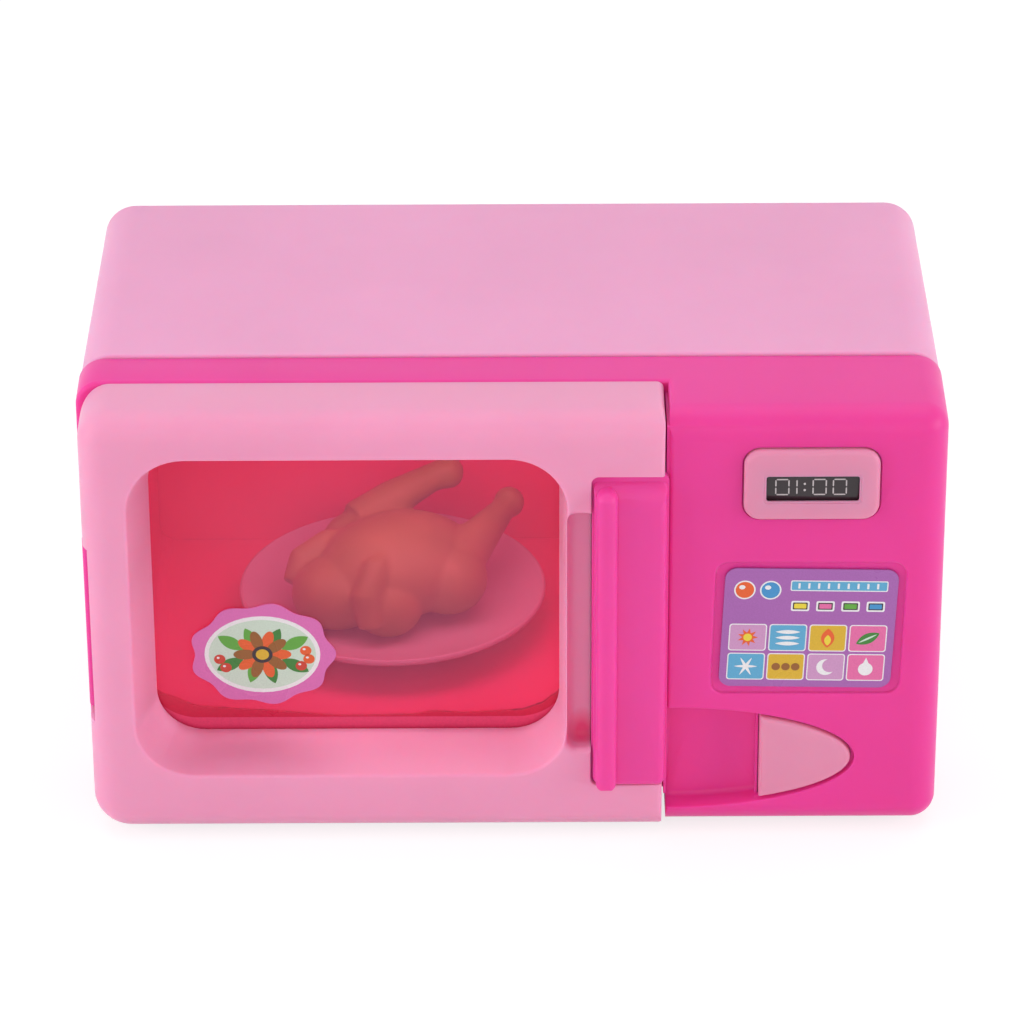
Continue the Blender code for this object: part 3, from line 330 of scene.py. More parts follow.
def leaned(outline, box, lean):
    """Leans an outline's sides to the right and slopes its top down, about a box's centre."""
    centre_x, centre_z = (box[0] + box[1]) / 2, (box[2] + box[3]) / 2
    sideways, downward = lean
    return [(x + sideways * (z - centre_z), z - downward * (x - centre_x)) for x, z in outline]


def at_depth(outline, y):
    return [(x, y, z) for x, z in outline]


def rect_ring(box, radii, y, steps=ARC_STEPS):
    return at_depth(rounded_rect(box, radii, steps), y)


def grown(box, margin):
    left, right, low, high = box
    return left - margin, right + margin, low - margin, high + margin


def round_inset(radius, depth):
    """How far a rounded edge lies inside the full outline at this depth behind the front."""
    if depth >= radius:
        return 0.0
    return radius - math.sqrt(radius**2 - (radius - depth) ** 2)


def edge_depths(radius, steps=ROUND_STEPS):
    return [radius * (1 - math.cos(math.pi / 2 * step / steps)) for step in range(steps + 1)]


def rounding(radius, steps=ROUND_STEPS):
    """The depths down a rounded edge, each with its inset."""
    return [(depth, round_inset(radius, depth)) for depth in edge_depths(radius, steps)]


def rounded_ring(box, corners, edges, depth, y):
    """One ring of a block whose front edges are rounded; edges are left, right, low, high."""
    left, right, low, high = (round_inset(radius, depth) for radius in edges)
    inner = (box[0] + left, box[1] - right, box[2] + low, box[3] - high)
    sides = ((left, low), (right, low), (right, high), (left, high))
    radii = tuple(corner - max(pair) for corner, pair in zip(corners, sides))
    return rect_ring(inner, radii, y)


def rounded_front(name, box, corners, edges, front, back):
    rings = [rounded_ring(box, corners, edges, d, front + d) for d in edge_depths(max(edges))]
    rings.append(rounded_ring(box, corners, edges, max(edges), back))
    return loft(name, rings)


def extruded(name, outline, front, back):
    return loft(name, [at_depth(outline, y) for y in (front, back)])


def slab(name, box, radius, front, back, steps=ARC_STEPS):
    return extruded(name, rounded_rect(box, radius, steps), front, back)


def sunk_rings(outline_at, lip, floor, front, back):
    """Rings of a cutter that leaves a rounded lip round its mouth and a rounded floor edge.

    outline_at(margin) gives the outline grown by a margin."""
    rings = [at_depth(outline_at(lip), front - OVERSHOOT)]
    rings += [at_depth(outline_at(inset), front + depth) for depth, inset in rounding(lip, 4)]
    rings += [at_depth(outline_at(-inset), back - depth) for depth, inset in reversed(rounding(floor, 4))]
    return rings


def sunk(name, box, radius, lip, floor, front, back):
    def outline_at(margin):
        return rounded_rect(grown(box, margin), radius + margin, 6)

    return loft(name, sunk_rings(outline_at, lip, floor, front, back))


def circle(centre, axis, along, radius, sides):
    first, second = {"X": (1, 2), "Y": (2, 0), "Z": (0, 1)}[axis]
    ring = []
    for side in range(sides):
        angle = 2 * math.pi * side / sides
        point = list(centre)
        point["XYZ".index(axis)] = along
        point[first] += radius * math.cos(angle)
        point[second] += radius * math.sin(angle)
        ring.append(point)
    return ring


def turned(name, centre, axis, profile, sides=48):
    return loft(name, [circle(centre, axis, along, radius, sides) for along, radius in profile])


def cylinder(name, centre, axis, radius, start, end, sides=32):
    return turned(name, centre, axis, ((start, radius), (end, radius)), sides)


def post(x, z, radius, front, back):
    return cylinder("post", (x, 0, z), "Y", radius, front, back)


def screw_hole(x, z, front, back):
    return post(x, z, SCREW_HOLE, front, back)


def hinge_cylinder(name, radius, start, end, sides=32):
    return cylinder(name, (HINGE_X, HINGE_Y, 0), "Z", radius, start, end, sides)


def tube(name, points, radii, sides):
    rings = []
    points = [Vector(point) for point in points]
    sideways = None
    for index, point in enumerate(points):
        forward = (points[min(index + 1, len(points) - 1)] - points[max(index - 1, 0)]).normalized()
        if sideways is None:
            sideways = forward.orthogonal()
        sideways = (sideways - forward * sideways.dot(forward)).normalized()
        upward = forward.cross(sideways)
        ring = []
        for side in range(sides):
            angle = 2 * math.pi * side / sides
            ring.append(point + radii[index] * (sideways * math.cos(angle) + upward * math.sin(angle)))
        rings.append(ring)
    return loft(name, rings)


def scoop_outline(grow, left, steps=28):
    """Half-ellipse from a value of x to its right end, grown outwards by a margin."""
    long, short = SCOOP_LONG + grow, SCOOP_SHORT + grow
    start = math.acos((left - SCOOP_X) / long)
    angles = [start * (1 - step / steps) for step in range(steps + 1)]
    upper = [(SCOOP_X + long * math.cos(a), SCOOP_Z + short * math.sin(a)) for a in angles]
    lower = [(x, 2 * SCOOP_Z - z) for x, z in reversed(upper[:-1])]
    return upper + lower


def soften(obj, width=MOULD_EDGE, segments=2):
    """Rounds the sharp edges that are left, as a mould does."""
    weld = obj.modifiers.new("Weld", "WELD")
    weld.merge_threshold = 0.01 * MM
    bevel = obj.modifiers.new("Bevel", "BEVEL")
    bevel.width = width * MM
    bevel.segments = segments
    bevel.limit_method = "ANGLE"
    bevel.angle_limit = BEVEL_ANGLE
    bevel.miter_outer = "MITER_ARC"
    return baked(obj)


def finish(obj, look, body, *nodes, slot, sharp=SHARP_ANGLE):
    """Dresses a piece, sets it on its body and lets it stand for the nodes it replaces."""
    obj.data.materials.clear()
    obj.data.materials.append(look)
    obj.data.shade_smooth()
    obj.data.set_sharp_from_angle(angle=sharp)
    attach(obj, body)
    if nodes:
        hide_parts(*nodes)


# Materials

def linear(red, green, blue):
    """A colour read in 8-bit sRGB, as Blender's linear colour."""
    values = []
    for value in (red, green, blue):
        value /= 255
        values.append(value / 12.92 if value <= 0.04045 else ((value + 0.055) / 1.055) ** 2.4)
    return values


def scaled(color, factor):
    return [min(1.0, value * factor) for value in color]


def new_material(name):
    material = bpy.data.materials.new(name)
    material.use_nodes = True
    return material, material.node_tree


def feed(tree, node, inputs):
    """Sets a node's inputs, or links them where the value is another node's output."""
    for key, value in inputs.items():
        if isinstance(value, bpy.types.NodeSocket):
            tree.links.new(value, node.inputs[key])
        else:
            node.inputs[key].default_value = value


def add_node(tree, kind, inputs=(), output=0, operation=None):
    """Adds a shader node and returns one of its outputs."""
    node = tree.nodes.new("ShaderNode" + kind)
    if operation:
        node.operation = operation
    feed(tree, node, dict(inputs))
    return node.outputs[output]


def principled(tree, inputs):
    shader = tree.nodes["Principled BSDF"]
    feed(tree, shader, inputs)
    return shader.outputs["BSDF"]


def mixed(tree, share, first, second):
    return add_node(tree, "MixShader", {0: share, 1: first, 2: second})


def show(tree, shader):
    feed(tree, tree.nodes["Material Output"], {"Surface": shader})


def any_ray(tree, *kinds):
    """One where the ray is of any of these kinds, otherwise zero."""
    path = tree.nodes.new("ShaderNodeLightPath")
    found = path.outputs[kinds[0]]
    for kind in kinds[1:]:
        found = add_node(tree, "Math", {0: found, 1: path.outputs[kind]}, operation="MAXIMUM")
    return found


def noise(tree, scale, detail=2.0, roughness=0.5):
    where = add_node(tree, "TexCoord", output="Object")
    inputs = {"Vector": where, "Scale": scale, "Detail": detail, "Roughness": roughness}
    return add_node(tree, "TexNoise", inputs, "Fac")


def ramp(tree, source, low, high, first, second):
    """Colour ramp between two colours."""
    made = tree.nodes.new("ShaderNodeValToRGB")
    for element, position, color in zip(made.color_ramp.elements, (low, high), (first, second)):
        element.position = position
        element.color = (*color, 1)
    tree.links.new(source, made.inputs["Fac"])
    return made.outputs["Color"]


def spread(tree, source, low, high):
    return add_node(tree, "MapRange", {"Value": source, "To Min": low, "To Max": high}, "Result")


def bumps(tree, *layers):
    """Stacks bump layers; each is (height source, distance in metres, strength)."""
    normal = None
    for source, distance, strength in layers:
        inputs = {"Height": source, "Distance": distance, "Strength": strength}
        if normal:
            inputs["Normal"] = normal
        normal = add_node(tree, "Bump", inputs, "Normal")
    return normal


def plastic(name, color, roughness=0.4, glow=0.85, depth=1.2 * MM, grain=0.02 * MM):
    """Moulded plastic: faint flow marks, a fine orange peel, and light, mostly red, spread under the skin."""
    material, tree = new_material(name)
    flow = noise(tree, 28.0, 4.0, 0.55)
    smear = noise(tree, 60.0, 5.0, 0.6)
    peel = noise(tree, 900.0)
    principled(tree, {
        "Base Color": ramp(tree, flow, 0.3, 0.7, scaled(color, 0.97), scaled(color, 1.03)),
        "Roughness": spread(tree, smear, roughness - 0.05, roughness + 0.06),
        "Normal": bumps(tree, (flow, 0.10 * MM, 0.15), (peel, grain, 0.25)),
        "IOR": 1.47,
        "Specular IOR Level": 0.25,
        "Subsurface Weight": glow,
        "Subsurface Radius": (1.0, 0.4, 0.5),
        "Subsurface Scale": depth,
    })
    return material


def with_painted_shade(name, color, shade_color, centre, reach):
    """Moulded plastic with painted shade: a deeper colour round one point, which fades out into its own."""
    material = plastic(name, color)
    tree = material.node_tree
    around = add_node(tree, "Mapping", {
        "Vector": add_node(tree, "TexCoord", output="Object"),
        "Scale": [1 / (length * MM) for length in reach],
        "Location": [-at / length for at, length in zip(centre, reach)],
    })
    distance = add_node(tree, "VectorMath", {0: around}, "Value", "LENGTH")
    fade = ramp(tree, distance, 0.3, 1.0, (1, 1, 1), (0, 0, 0))
    own = tree.nodes["Principled BSDF"].inputs["Base Color"].links[0].from_socket
    blend = add_node(tree, "MixRGB", {"Fac": fade, "Color1": own, "Color2": (*shade_color, 1)})
    principled(tree, {"Base Color": blend})
    return material


def metal(name, color, roughness=0.3):
    """Plated steel with fine turning marks and light tarnish."""
    material, tree = new_material(name)
    stain = noise(tree, 400.0, 4.0, 0.6)
    marks = noise(tree, 2500.0)
    principled(tree, {
        "Base Color": ramp(tree, stain, 0.3, 0.75, scaled(color, 0.75), color),
        "Roughness": spread(tree, marks, roughness - 0.08, roughness + 0.12),
        "Normal": bumps(tree, (marks, 0.01 * MM, 0.3)),
        "Metallic": 1.0,
    })
    return material


def printed(name, color, roughness=0.28):
    """Ink on a film-covered sticker: fine halftone grain and a smooth, slightly waved gloss."""
    material, tree = new_material(name)
    grain = noise(tree, 3500.0, roughness=0.7)
    wave = noise(tree, 120.0)
    principled(tree, {
        "Base Color": ramp(tree, grain, 0.3, 0.7, scaled(color, 0.93), scaled(color, 1.05)),
        "Roughness": spread(tree, wave, roughness - 0.04, roughness + 0.06),
        "Normal": bumps(tree, (wave, 0.05 * MM, 0.15)),
    })
    return material


def film(name, color, haze):
    """Tinted sheet, milky in soft clouds. Each face tints once, and light on its way in isn't tinted."""
    material, tree = new_material(name)
    cloud = noise(tree, 45.0, 0.0)
    tint = ramp(tree, cloud, 0.05, 0.95, scaled(color, 0.97), color)
    milk = principled(tree, {
        "Base Color": ramp(tree, cloud, 0.05, 0.95, scaled(haze, 0.95), scaled(haze, 1.05)),
        "Roughness": 0.35,
        "Normal": bumps(tree, (noise(tree, 160.0), 0.05 * MM, 0.12)),
    })
    seen_through = add_node(tree, "BsdfTransparent", {"Color": tint})
    sheet = mixed(tree, spread(tree, cloud, 0.13, 0.17), seen_through, milk)
    way_in = any_ray(tree, "Is Shadow Ray", "Is Diffuse Ray")
    show(tree, mixed(tree, way_in, sheet, add_node(tree, "BsdfTransparent")))
    return material


def roast_skin(name):
    """Soft beige vinyl in faint patches, with fine pores."""
    material, tree = new_material(name)
    patches = noise(tree, 130.0, 5.0, 0.6)
    pores = noise(tree, 1500.0, 3.0)
    principled(tree, {
        "Base Color": ramp(tree, patches, 0.3, 0.75, linear(140, 156, 76), linear(160, 172, 96)),
        "Roughness": spread(tree, pores, 0.42, 0.6),
        "Normal": bumps(tree, (patches, 0.3 * MM, 0.3), (pores, 0.05 * MM, 0.3)),
        "Subsurface Weight": 0.15,
        "Subsurface Radius": (1.0, 0.6, 0.4),
        "Subsurface Scale": 1.0 * MM,
    })
    return material


SHELL_PINK = plastic("shell_pink_plastic", linear(240, 166, 206))
# The door's pink plastic, with painted shade round the foot of the finger recess
DOOR_PINK = with_painted_shade("door_pink_plastic", linear(244, 163, 199), linear(242, 88, 144), RECESS_SHADE_SPOT, RECESS_SHADE_REACH)
HOT_PINK = plastic("hot_pink_plastic", linear(240, 68, 162), 0.36)
HANDLE_PINK = plastic("handle_pink_plastic", linear(241, 76, 167), 0.34)
LINER_PINK = plastic("liner_pink_plastic", linear(244, 80, 146), grain=0.006 * MM)
PALE_PINK = plastic("pale_pink_plastic", linear(232, 152, 184), 0.36)
WHITE_PART = plastic("natural_plastic", linear(226, 222, 214), 0.45, 0.3, 0.8 * MM)
DISH_WHITE = plastic("dish_plastic", linear(200, 208, 212), 0.3, 0.3, 0.8 * MM)
ROAST = roast_skin("roast_vinyl")
STEEL = metal("plated_steel", linear(190, 190, 192))
FILM_RED = film("red_film", (0.99, 0.455, 0.588), linear(250, 136, 178))
# Painted shadow: a dark red strip under the film's cut edge, where the seat lies in shade
SEAT_SHADOW_RED = printed("film_edge_painted_shadow", linear(212, 22, 68))
# Painted shade: a pink strip coloured as the shaded sill seen below the film
SEAT_SHADE_PINK = printed("film_rim_painted_shade", linear(232, 66, 112))
DISPLAY_BLACK = printed("display_black", linear(46, 35, 40), 0.16)
DIGIT_GREY = printed("digit_grey", linear(200, 190, 192))
INK_COLORS = {
    "purple": (168, 98, 176), "lilac": (206, 150, 196), "mustard": (220, 178, 44), "pink": (230, 108, 166),
    "sky": (92, 170, 210), "white": (240, 238, 240), "orange": (232, 96, 38), "blue": (64, 146, 204),
    "yellow": (236, 214, 60), "green": (96, 170, 60), "leaf": (60, 130, 50), "brown": (150, 92, 34),
    "dark": (52, 34, 44), "border": (222, 112, 184), "mint": (206, 226, 208), "red": (206, 62, 42),
}
INK = {ink: printed("ink_" + ink, linear(*color)) for ink, color in INK_COLORS.items()}


# Large mouldings

def front_frame_hollow():
    """The space inside the frame: the block's, less the scoop's walls, and the band's."""
    space = slab("hollow", grown(BLOCK, -WALL), CORNER - WALL, FRONT + WALL, SEAM - OVERSHOOT)
    reach = SCOOP_SHORT + SCOOP_WALL
    wall_box = (SCOOP_X - OVERSHOOT, BUTTON_LEFT - 0.12, SCOOP_Z - reach, SCOOP_Z + reach)
    cut(space, slab("scoop_wall", wall_box, OVERLAP, FRONT, FRONT + SCOOP_DEPTH + SCOOP_WALL))
    return fuse(space, slab("band_space", grown(BODY, -WALL), CORNER - WALL, PLATE_BACK, SEAM + OVERSHOOT))


def frame_lip():
    lip_box, clear = grown(BODY, -LIP_OUTSIDE), 2 * LIP_REACH
    lip = slab("lip", lip_box, LIP_CORNER, SEAM - OVERLAP, SEAM + LIP_REACH)
    root = slab("root", grown(BODY, LIP_ROOT - WALL), CORNER - WALL, SEAM - LIP_REACH, SEAM - OVERLAP)
    inside = slab("inside", grown(lip_box, -LIP_THICK), LIP_CORNER - LIP_THICK, SEAM - clear, SEAM + clear)
    return cut(fuse(lip, root), inside)


def hinge_lug():
    """The frame's half of the hinge, with rounded front corners, seen from above."""
    box = (LUG_LEFT, LUG_RIGHT, LUG_FRONT, BAND_FRONT + SMALL_ROUND + OVERLAP)
    edge = 0.3
    rings = []
    heights = [(LUG_LOW + depth, inset) for depth, inset in rounding(edge, 3)]
    heights += [(LUG_HIGH - depth, inset) for depth, inset in reversed(rounding(edge, 3))]
    for z, inset in heights:
        plan = rounded_rect(grown(box, -inset), (LUG_ROUND, LUG_ROUND, 0, 0), 8)
        rings.append([(x, y, z) for x, y in plan])
    return loft("lug", rings)


def frame_posts():
    posts = []
    for x, z in POSTS:
        start = (PLATE_BACK if x < 0 else FRONT + WALL) - OVERLAP
        posts.append(post(x, z, POST_RADIUS, start, SEAM))
    for x in BRACKET_SCREW_X:
        posts.append(post(x, BRACKET_SCREW_Z, 2.4, FRONT + WALL - OVERLAP, BRACKET_FRONT - GAP))
    return posts


def frame_cutters():
    behind_plate = PLATE_BACK + OVERSHOOT
    scoop_floor = FRONT + SCOOP_DEPTH
    lip, floor_round = 0.35, 0.9

    def scoop_at(margin):
        lower, upper = SCOOP_X - 0.15, BUTTON_LEFT - 0.55
        return [(min(x, upper), z) for x, z in scoop_outline(margin, lower, 40)]

    def button_at(margin):
        return scoop_outline(margin, BUTTON_LEFT - BUTTON_CLEAR - margin)

    def recess_at(margin):
        outline = rounded_rect(grown(LABEL_RECESS, margin), 2.2 + margin)
        return leaned(outline, LABEL_RECESS, LABEL_RECESS_LEAN)

    mouth_box = (BLOCK_LEFT - OVERSHOOT, SCOOP_X + 0.1, SCOOP_Z - SCOOP_SHORT, SCOOP_Z + SCOOP_SHORT)
    groove_reach = SCOOP_SHORT - 1.4
    groove_box = (BUTTON_LEFT - 0.75, BUTTON_LEFT - 0.05, SCOOP_Z - groove_reach, SCOOP_Z + groove_reach)
    before = FRONT - OVERSHOOT
    cutters = [
        prune(loft("scoop", sunk_rings(scoop_at, lip, floor_round, FRONT, scoop_floor))),
        sunk("scoop_mouth", mouth_box, 0.1, lip, floor_round, FRONT, scoop_floor),
        loft("button_hole", sunk_rings(button_at, 0.3, SMALLEST_RADIUS, FRONT, FRONT + 1.2)),
        extruded("button_ledge", button_at(0.1 - BUTTON_CLEAR), FRONT, FRONT + 8),
        slab("scoop_groove", groove_box, 0.1, FRONT + 1, FRONT + 2.4, 2),
        loft("label_recess", sunk_rings(recess_at, 0.5, 0.2, FRONT, FRONT + LABEL_RECESS_DEPTH)),
        slab("display_hole", grown(BEZEL, GAP), BEZEL_CORNER + GAP, before, FRONT + 0.6),
        slab("display_ledge", grown(BEZEL, 0.04), BEZEL_CORNER, before, FRONT + 3),
        slab("mouth", MOUTH, 5, BAND_FRONT - OVERSHOOT, behind_plate),
        slab("slot", SLOT, 0.4, BAND_FRONT - OVERSHOOT, behind_plate, 3),
        hinge_cylinder("lug_bore", BORE_RADIUS, LUG_LOW - OVERSHOOT, LUG_HIGH + OVERSHOOT),
    ]
    cutters += [screw_hole(x, z, PLATE_BACK + OVERLAP, SEAM + OVERSHOOT) for x, z in POSTS]
    cutters += [screw_hole(x, BRACKET_SCREW_Z, BRACKET_FRONT - 7, BRACKET_FRONT) for x in BRACKET_SCREW_X]
    return cutters


def make_front_frame():
    rings = []
    for depth in edge_depths(SMALL_ROUND, 5):
        rings.append(rounded_ring(BODY, (CORNER,) * 4, (SMALL_ROUND,) * 4, depth, BAND_FRONT + depth))
    rear_edge = 0.5
    for depth, inset in reversed(rounding(rear_edge, 4)):
        rings.append(rect_ring(grown(BODY, -inset), CORNER - inset, SEAM - depth))
    frame = loft("frame_front", rings)
    corners = (SMALL_ROUND, CORNER, CORNER, SMALL_ROUND)
    edges = (SMALL_ROUND, EDGE_ROUND, EDGE_ROUND, EDGE_ROUND)
    block = rounded_front("block", BLOCK, corners, edges, FRONT, SEAM - WALL)
    fuse(frame, block)
    ledge_box = (BLOCK_LEFT - LEDGE, BLOCK_LEFT + LEDGE, LOW + 6.3, HIGH - 2.2)
    fuse(frame, slab("ledge", ledge_box, 0, FRONT + 0.5, SEAM - WALL, 1))
    cut(frame, front_frame_hollow())
    fuse(frame, frame_lip(), hinge_lug(), *frame_posts())
    cut(frame, *frame_cutters())
    soften(frame)
    finish(frame, HOT_PINK, "body", "front_frame", slot="hot_pink")


def shell_ring(inset, depth, y):
    return rect_ring(grown(SHELL, -inset - depth * math.tan(DRAFT)), SHELL_CORNER - inset, y)


def shell_additions(front, inner_back):
    """The shell's posts and feet."""
    additions = [post(x, z, POST_RADIUS, front + GAP, inner_back + OVERLAP) for x, z in POSTS]
    foot_edge = 0.4
    foot_profile = [(depth, FOOT_RADIUS - inset) for depth, inset in rounding(foot_edge, 4)]
    foot_profile.append((LOW + WALL, FOOT_RADIUS))
    for x in (-FOOT_X, FOOT_X):
        for y in FOOT_Y:
            additions.append(turned("foot", (x, y, 0), "Z", foot_profile))
    return additions


def shell_cutters(front):
    """Screw holes and their wells, and the blind vents."""
    well = [(HEAD_SEAT, WELL_RADIUS), (BACK - WELL_FLARE, WELL_RADIUS)]
    for depth, inset in reversed(rounding(WELL_FLARE, 4)[:-1]):
        well.append((BACK - depth, WELL_RADIUS + inset))
    well.append((BACK + OVERSHOOT, WELL_RADIUS + WELL_FLARE))
    cutters = []
    for x, z in POSTS:
        cutters.append(screw_hole(x, z, front - OVERSHOOT, BACK))
        cutters.append(turned("well", (x, 0, z), "Y", well, 32))
    for x in LINER_SCREW_X:
        cutters.append(screw_hole(x, LINER_SCREW_Z, BACK - 2.4, BACK - 1.0))
    middle = (LOW + HIGH) / 2
    heights = (middle - VENT_HALF_HEIGHT, middle + VENT_HALF_HEIGHT)
    for index in range(VENT_COUNT):
        x = VENT_CENTRE_X + (index - (VENT_COUNT - 1) / 2) * VENT_PITCH
        vent = (x - VENT_HALF_WIDTH, x + VENT_HALF_WIDTH, *heights)
        rings = []
        for depth, margin in VENT_FLARE:
            rings.append(rect_ring(grown(vent, margin), VENT_CORNER + margin, BACK - depth, 6))
        cutters.append(loft("vent", rings))
    return cutters


def make_rear_shell():
    front = SEAM + 0.08
    rings = [shell_ring(inset, 0, front + depth) for depth, inset in rounding(SHELL_LIP, 4)]
    for depth, inset in reversed(rounding(BACK_ROUND)):
        rings.append(shell_ring(inset, BACK - depth - front, BACK - depth))
    shell = loft("shell_rear", rings)
    inner_back = BACK - WALL
    inner = [shell_ring(WALL, 0, front - OVERSHOOT), shell_ring(WALL, inner_back - front, inner_back)]
    cut(shell, loft("inside", inner))
    fuse(shell, *shell_additions(front, inner_back))
    cut(shell, *shell_cutters(front))
    soften(shell)
    finish(shell, SHELL_PINK, "body", "rear_shell", slot="shell_pink")


def door_ring(inset_depth, y):
    box = (DOOR_LEFT, DOOR_RIGHT, LOW, HIGH)
    edges = (EDGE_ROUND, SMALL_ROUND, EDGE_ROUND, EDGE_ROUND)
    return rounded_ring(box, DOOR_CORNERS, edges, inset_depth, y)


def door_skin():
    """One closed skin: round the outside, over the front, down the window's sides and out over the seat."""
    rings = [door_ring(EDGE_ROUND, DOOR_BACK)]
    rings += [door_ring(d, DOOR_FRONT + d) for d in reversed(edge_depths(EDGE_ROUND))]
    for depth, margin in rounding(WINDOW_FRONT_EDGE, 6):
        rings.append(rect_ring(grown(WINDOW_FRONT, margin), WINDOW_FRONT_CORNER + margin, DOOR_FRONT + depth))
    for depth, margin in reversed(rounding(WINDOW_BACK_EDGE, 3)):
        rings.append(rect_ring(grown(WINDOW_BACK, margin), WINDOW_BACK_CORNER + margin, SEAT_Y - depth))
    rings += [rect_ring(SEAT, SEAT_CORNER, y) for y in (SEAT_Y, DOOR_BACK)]
    return loft("door_panel", rings, closed=True)


def hinge_cutters():
    """Round the door's rear left edge about the hinge, and clear the lug and the pin."""
    left, behind = DOOR_LEFT - OVERSHOOT, DOOR_BACK + OVERSHOOT
    corner = slab("corner", (left, HINGE_X, LOW - OVERSHOOT, HIGH + OVERSHOOT), 0, HINGE_Y, behind, 1)
    cut(corner, hinge_cylinder("keep", HINGE_ROUND, -OVERSHOOT, HIGH + 2 * OVERSHOOT, 64))
    relief_box = (left, DOOR_LEFT + NOTCH_RELIEF, NOTCH_LOW, NOTCH_HIGH)
    open_box = (left, HINGE_X + NOTCH_RADIUS - 0.1, NOTCH_LOW, NOTCH_HIGH)
    return [
        corner,
        hinge_cylinder("notch", NOTCH_RADIUS, NOTCH_LOW, NOTCH_HIGH, 64),
        slab("relief", relief_box, 0, DOOR_FRONT, behind, 1),
        slab("open_back", open_box, 0, HINGE_Y, behind, 1),
        hinge_cylinder("bore", BORE_RADIUS, LUG_LOW - PIN_ROOM, LUG_HIGH + PIN_ROOM),
    ]


def make_door_shell():
    door = door_skin()
    behind = DOOR_BACK + OVERSHOOT
    cutters = [
        sunk("rebate", REBATE, 1.2, 0.25, 0.2, DOOR_FRONT, REBATE_BACK),
        sunk("finger", FINGER, 1.6, 1.0, 1.3, DOOR_FRONT, FINGER_BACK),
        slab("stile", STILE, 1.0, STILE_FRONT, behind, 4),
        slab("rail_low", RAIL_LOW, 1.0, RAIL_FRONT, behind, 4),
        slab("rail_high", RAIL_HIGH, 1.0, RAIL_FRONT, behind, 4),
        *hinge_cutters(),
    ]
    for x, z in STILE_HOLES:
        cutters.append(screw_hole(x, z, REBATE_BACK - OVERSHOOT, STILE_FRONT + OVERSHOOT))
    cut(door, *cutters)
    soften(door)
    finish(door, DOOR_PINK, "door", "door_shell", slot="shell_pink")


def make_handle():
    side = 1.2
    corners = (1.3, 1.3, 1.8, 1.8)
    edges = (side, side, side, HANDLE_TOP_ROUND)
    handle = rounded_front("handle_pull", HANDLE, corners, edges, HANDLE_FRONT, HANDLE_BACK)
    rib_corners = (1.0, 1.0, 1.65, 1.65)
    rib_edges = (1.5, 1.5, 0.8, 1.6)
    fuse(handle, rounded_front("rib", RIB, rib_corners, rib_edges, RIB_FRONT, HANDLE_FRONT + 2.5))
    flange_box = grown(HANDLE, GAP)
    fuse(handle, slab("flange", flange_box, 1.2, DOOR_FRONT + 1.0, HANDLE_BACK, 8))
    finish(handle, HANDLE_PINK, "door", "door_handle", slot="hot_pink")


def make_bezel():
    flange_front = FRONT + WALL + GAP
    corners, edges = (BEZEL_CORNER,) * 4, (0.9,) * 4
    bezel = rounded_front("bezel_frame", BEZEL, corners, edges, BEZEL_FRONT, flange_front + LIP_ROOT)
    left, right, low, high = BEZEL
    reach = 0.9
    flange_box = (left + reach, right - reach, low - reach, high + reach)
    fuse(bezel, slab("flange", flange_box, BEZEL_CORNER, flange_front, FRONT + 3.3))
    step_box = grown(DISPLAY, 0.35)
    step = sunk("step", step_box, 0.6, 0.12, SMALLEST_RADIUS, BEZEL_FRONT, BEZEL_FRONT + 0.15)
    opening = slab("opening", DISPLAY, 0.4, BEZEL_FRONT - OVERSHOOT, DISPLAY_FACE + OVERSHOOT, 4)
    pocket = slab("pocket", grown(DISPLAY, 1.3), 0.2, DISPLAY_FACE - GAP, FRONT + 5, 2)
    cut(bezel, step, opening, pocket)
    soften(bezel, FINE_EDGE)
    finish(bezel, PALE_PINK, "body", "display_bezel", slot="pale_pink")


def make_button():
    front = FRONT - 0.1
    rings = []
    for depth, inset in rounding(SMALL_ROUND, 6):
        rings.append(at_depth(scoop_outline(-BUTTON_CLEAR - inset, BUTTON_LEFT + inset), front + depth))
    rings.append(at_depth(scoop_outline(-BUTTON_CLEAR, BUTTON_LEFT), BUTTON_BACK))
    button = loft("button_cap", rings)
    flange_front = FRONT + WALL + GAP
    flange_outline = scoop_outline(0.5, BUTTON_LEFT + BUTTON_CLEAR)
    flange = extruded("flange", flange_outline, flange_front, flange_front + 1)
    tip = 0.4
    stem = [(BUTTON_BACK - OVERLAP, STEM_RADIUS), (STEM_END - tip, STEM_RADIUS)]
    stem.append((STEM_END, STEM_RADIUS - tip))
    fuse(button, flange, turned("stem", (STEM_X, 0, SCOOP_Z), "Y", stem))
    soften(button, 0.25, 3)
    finish(button, PALE_PINK, "button", "release_button", slot="pale_pink")


def make_spring():
    wire, coil = 0.35, 2.9
    start, end = BUTTON_BACK + GAP + wire, BRACKET_FRONT - GAP - wire
    turns, per_turn = 6, 32
    points = []
    for step in range(turns * per_turn + 1):
        share = step / (turns * per_turn)
        angle = 2 * math.pi * turns * share
        x, z = STEM_X + coil * math.cos(angle), SCOOP_Z + coil * math.sin(angle)
        points.append((x, start + (end - start) * share, z))
    spring = tube("spring_coil", points, [wire] * len(points), 12)
    finish(spring, STEEL, "body", "button_spring", slot="steel")
    fixed_end = (STEM_X, BRACKET_FRONT - GAP, SCOOP_Z)
    in_metres(fixed_end)
    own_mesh(spring)


# Oven contents

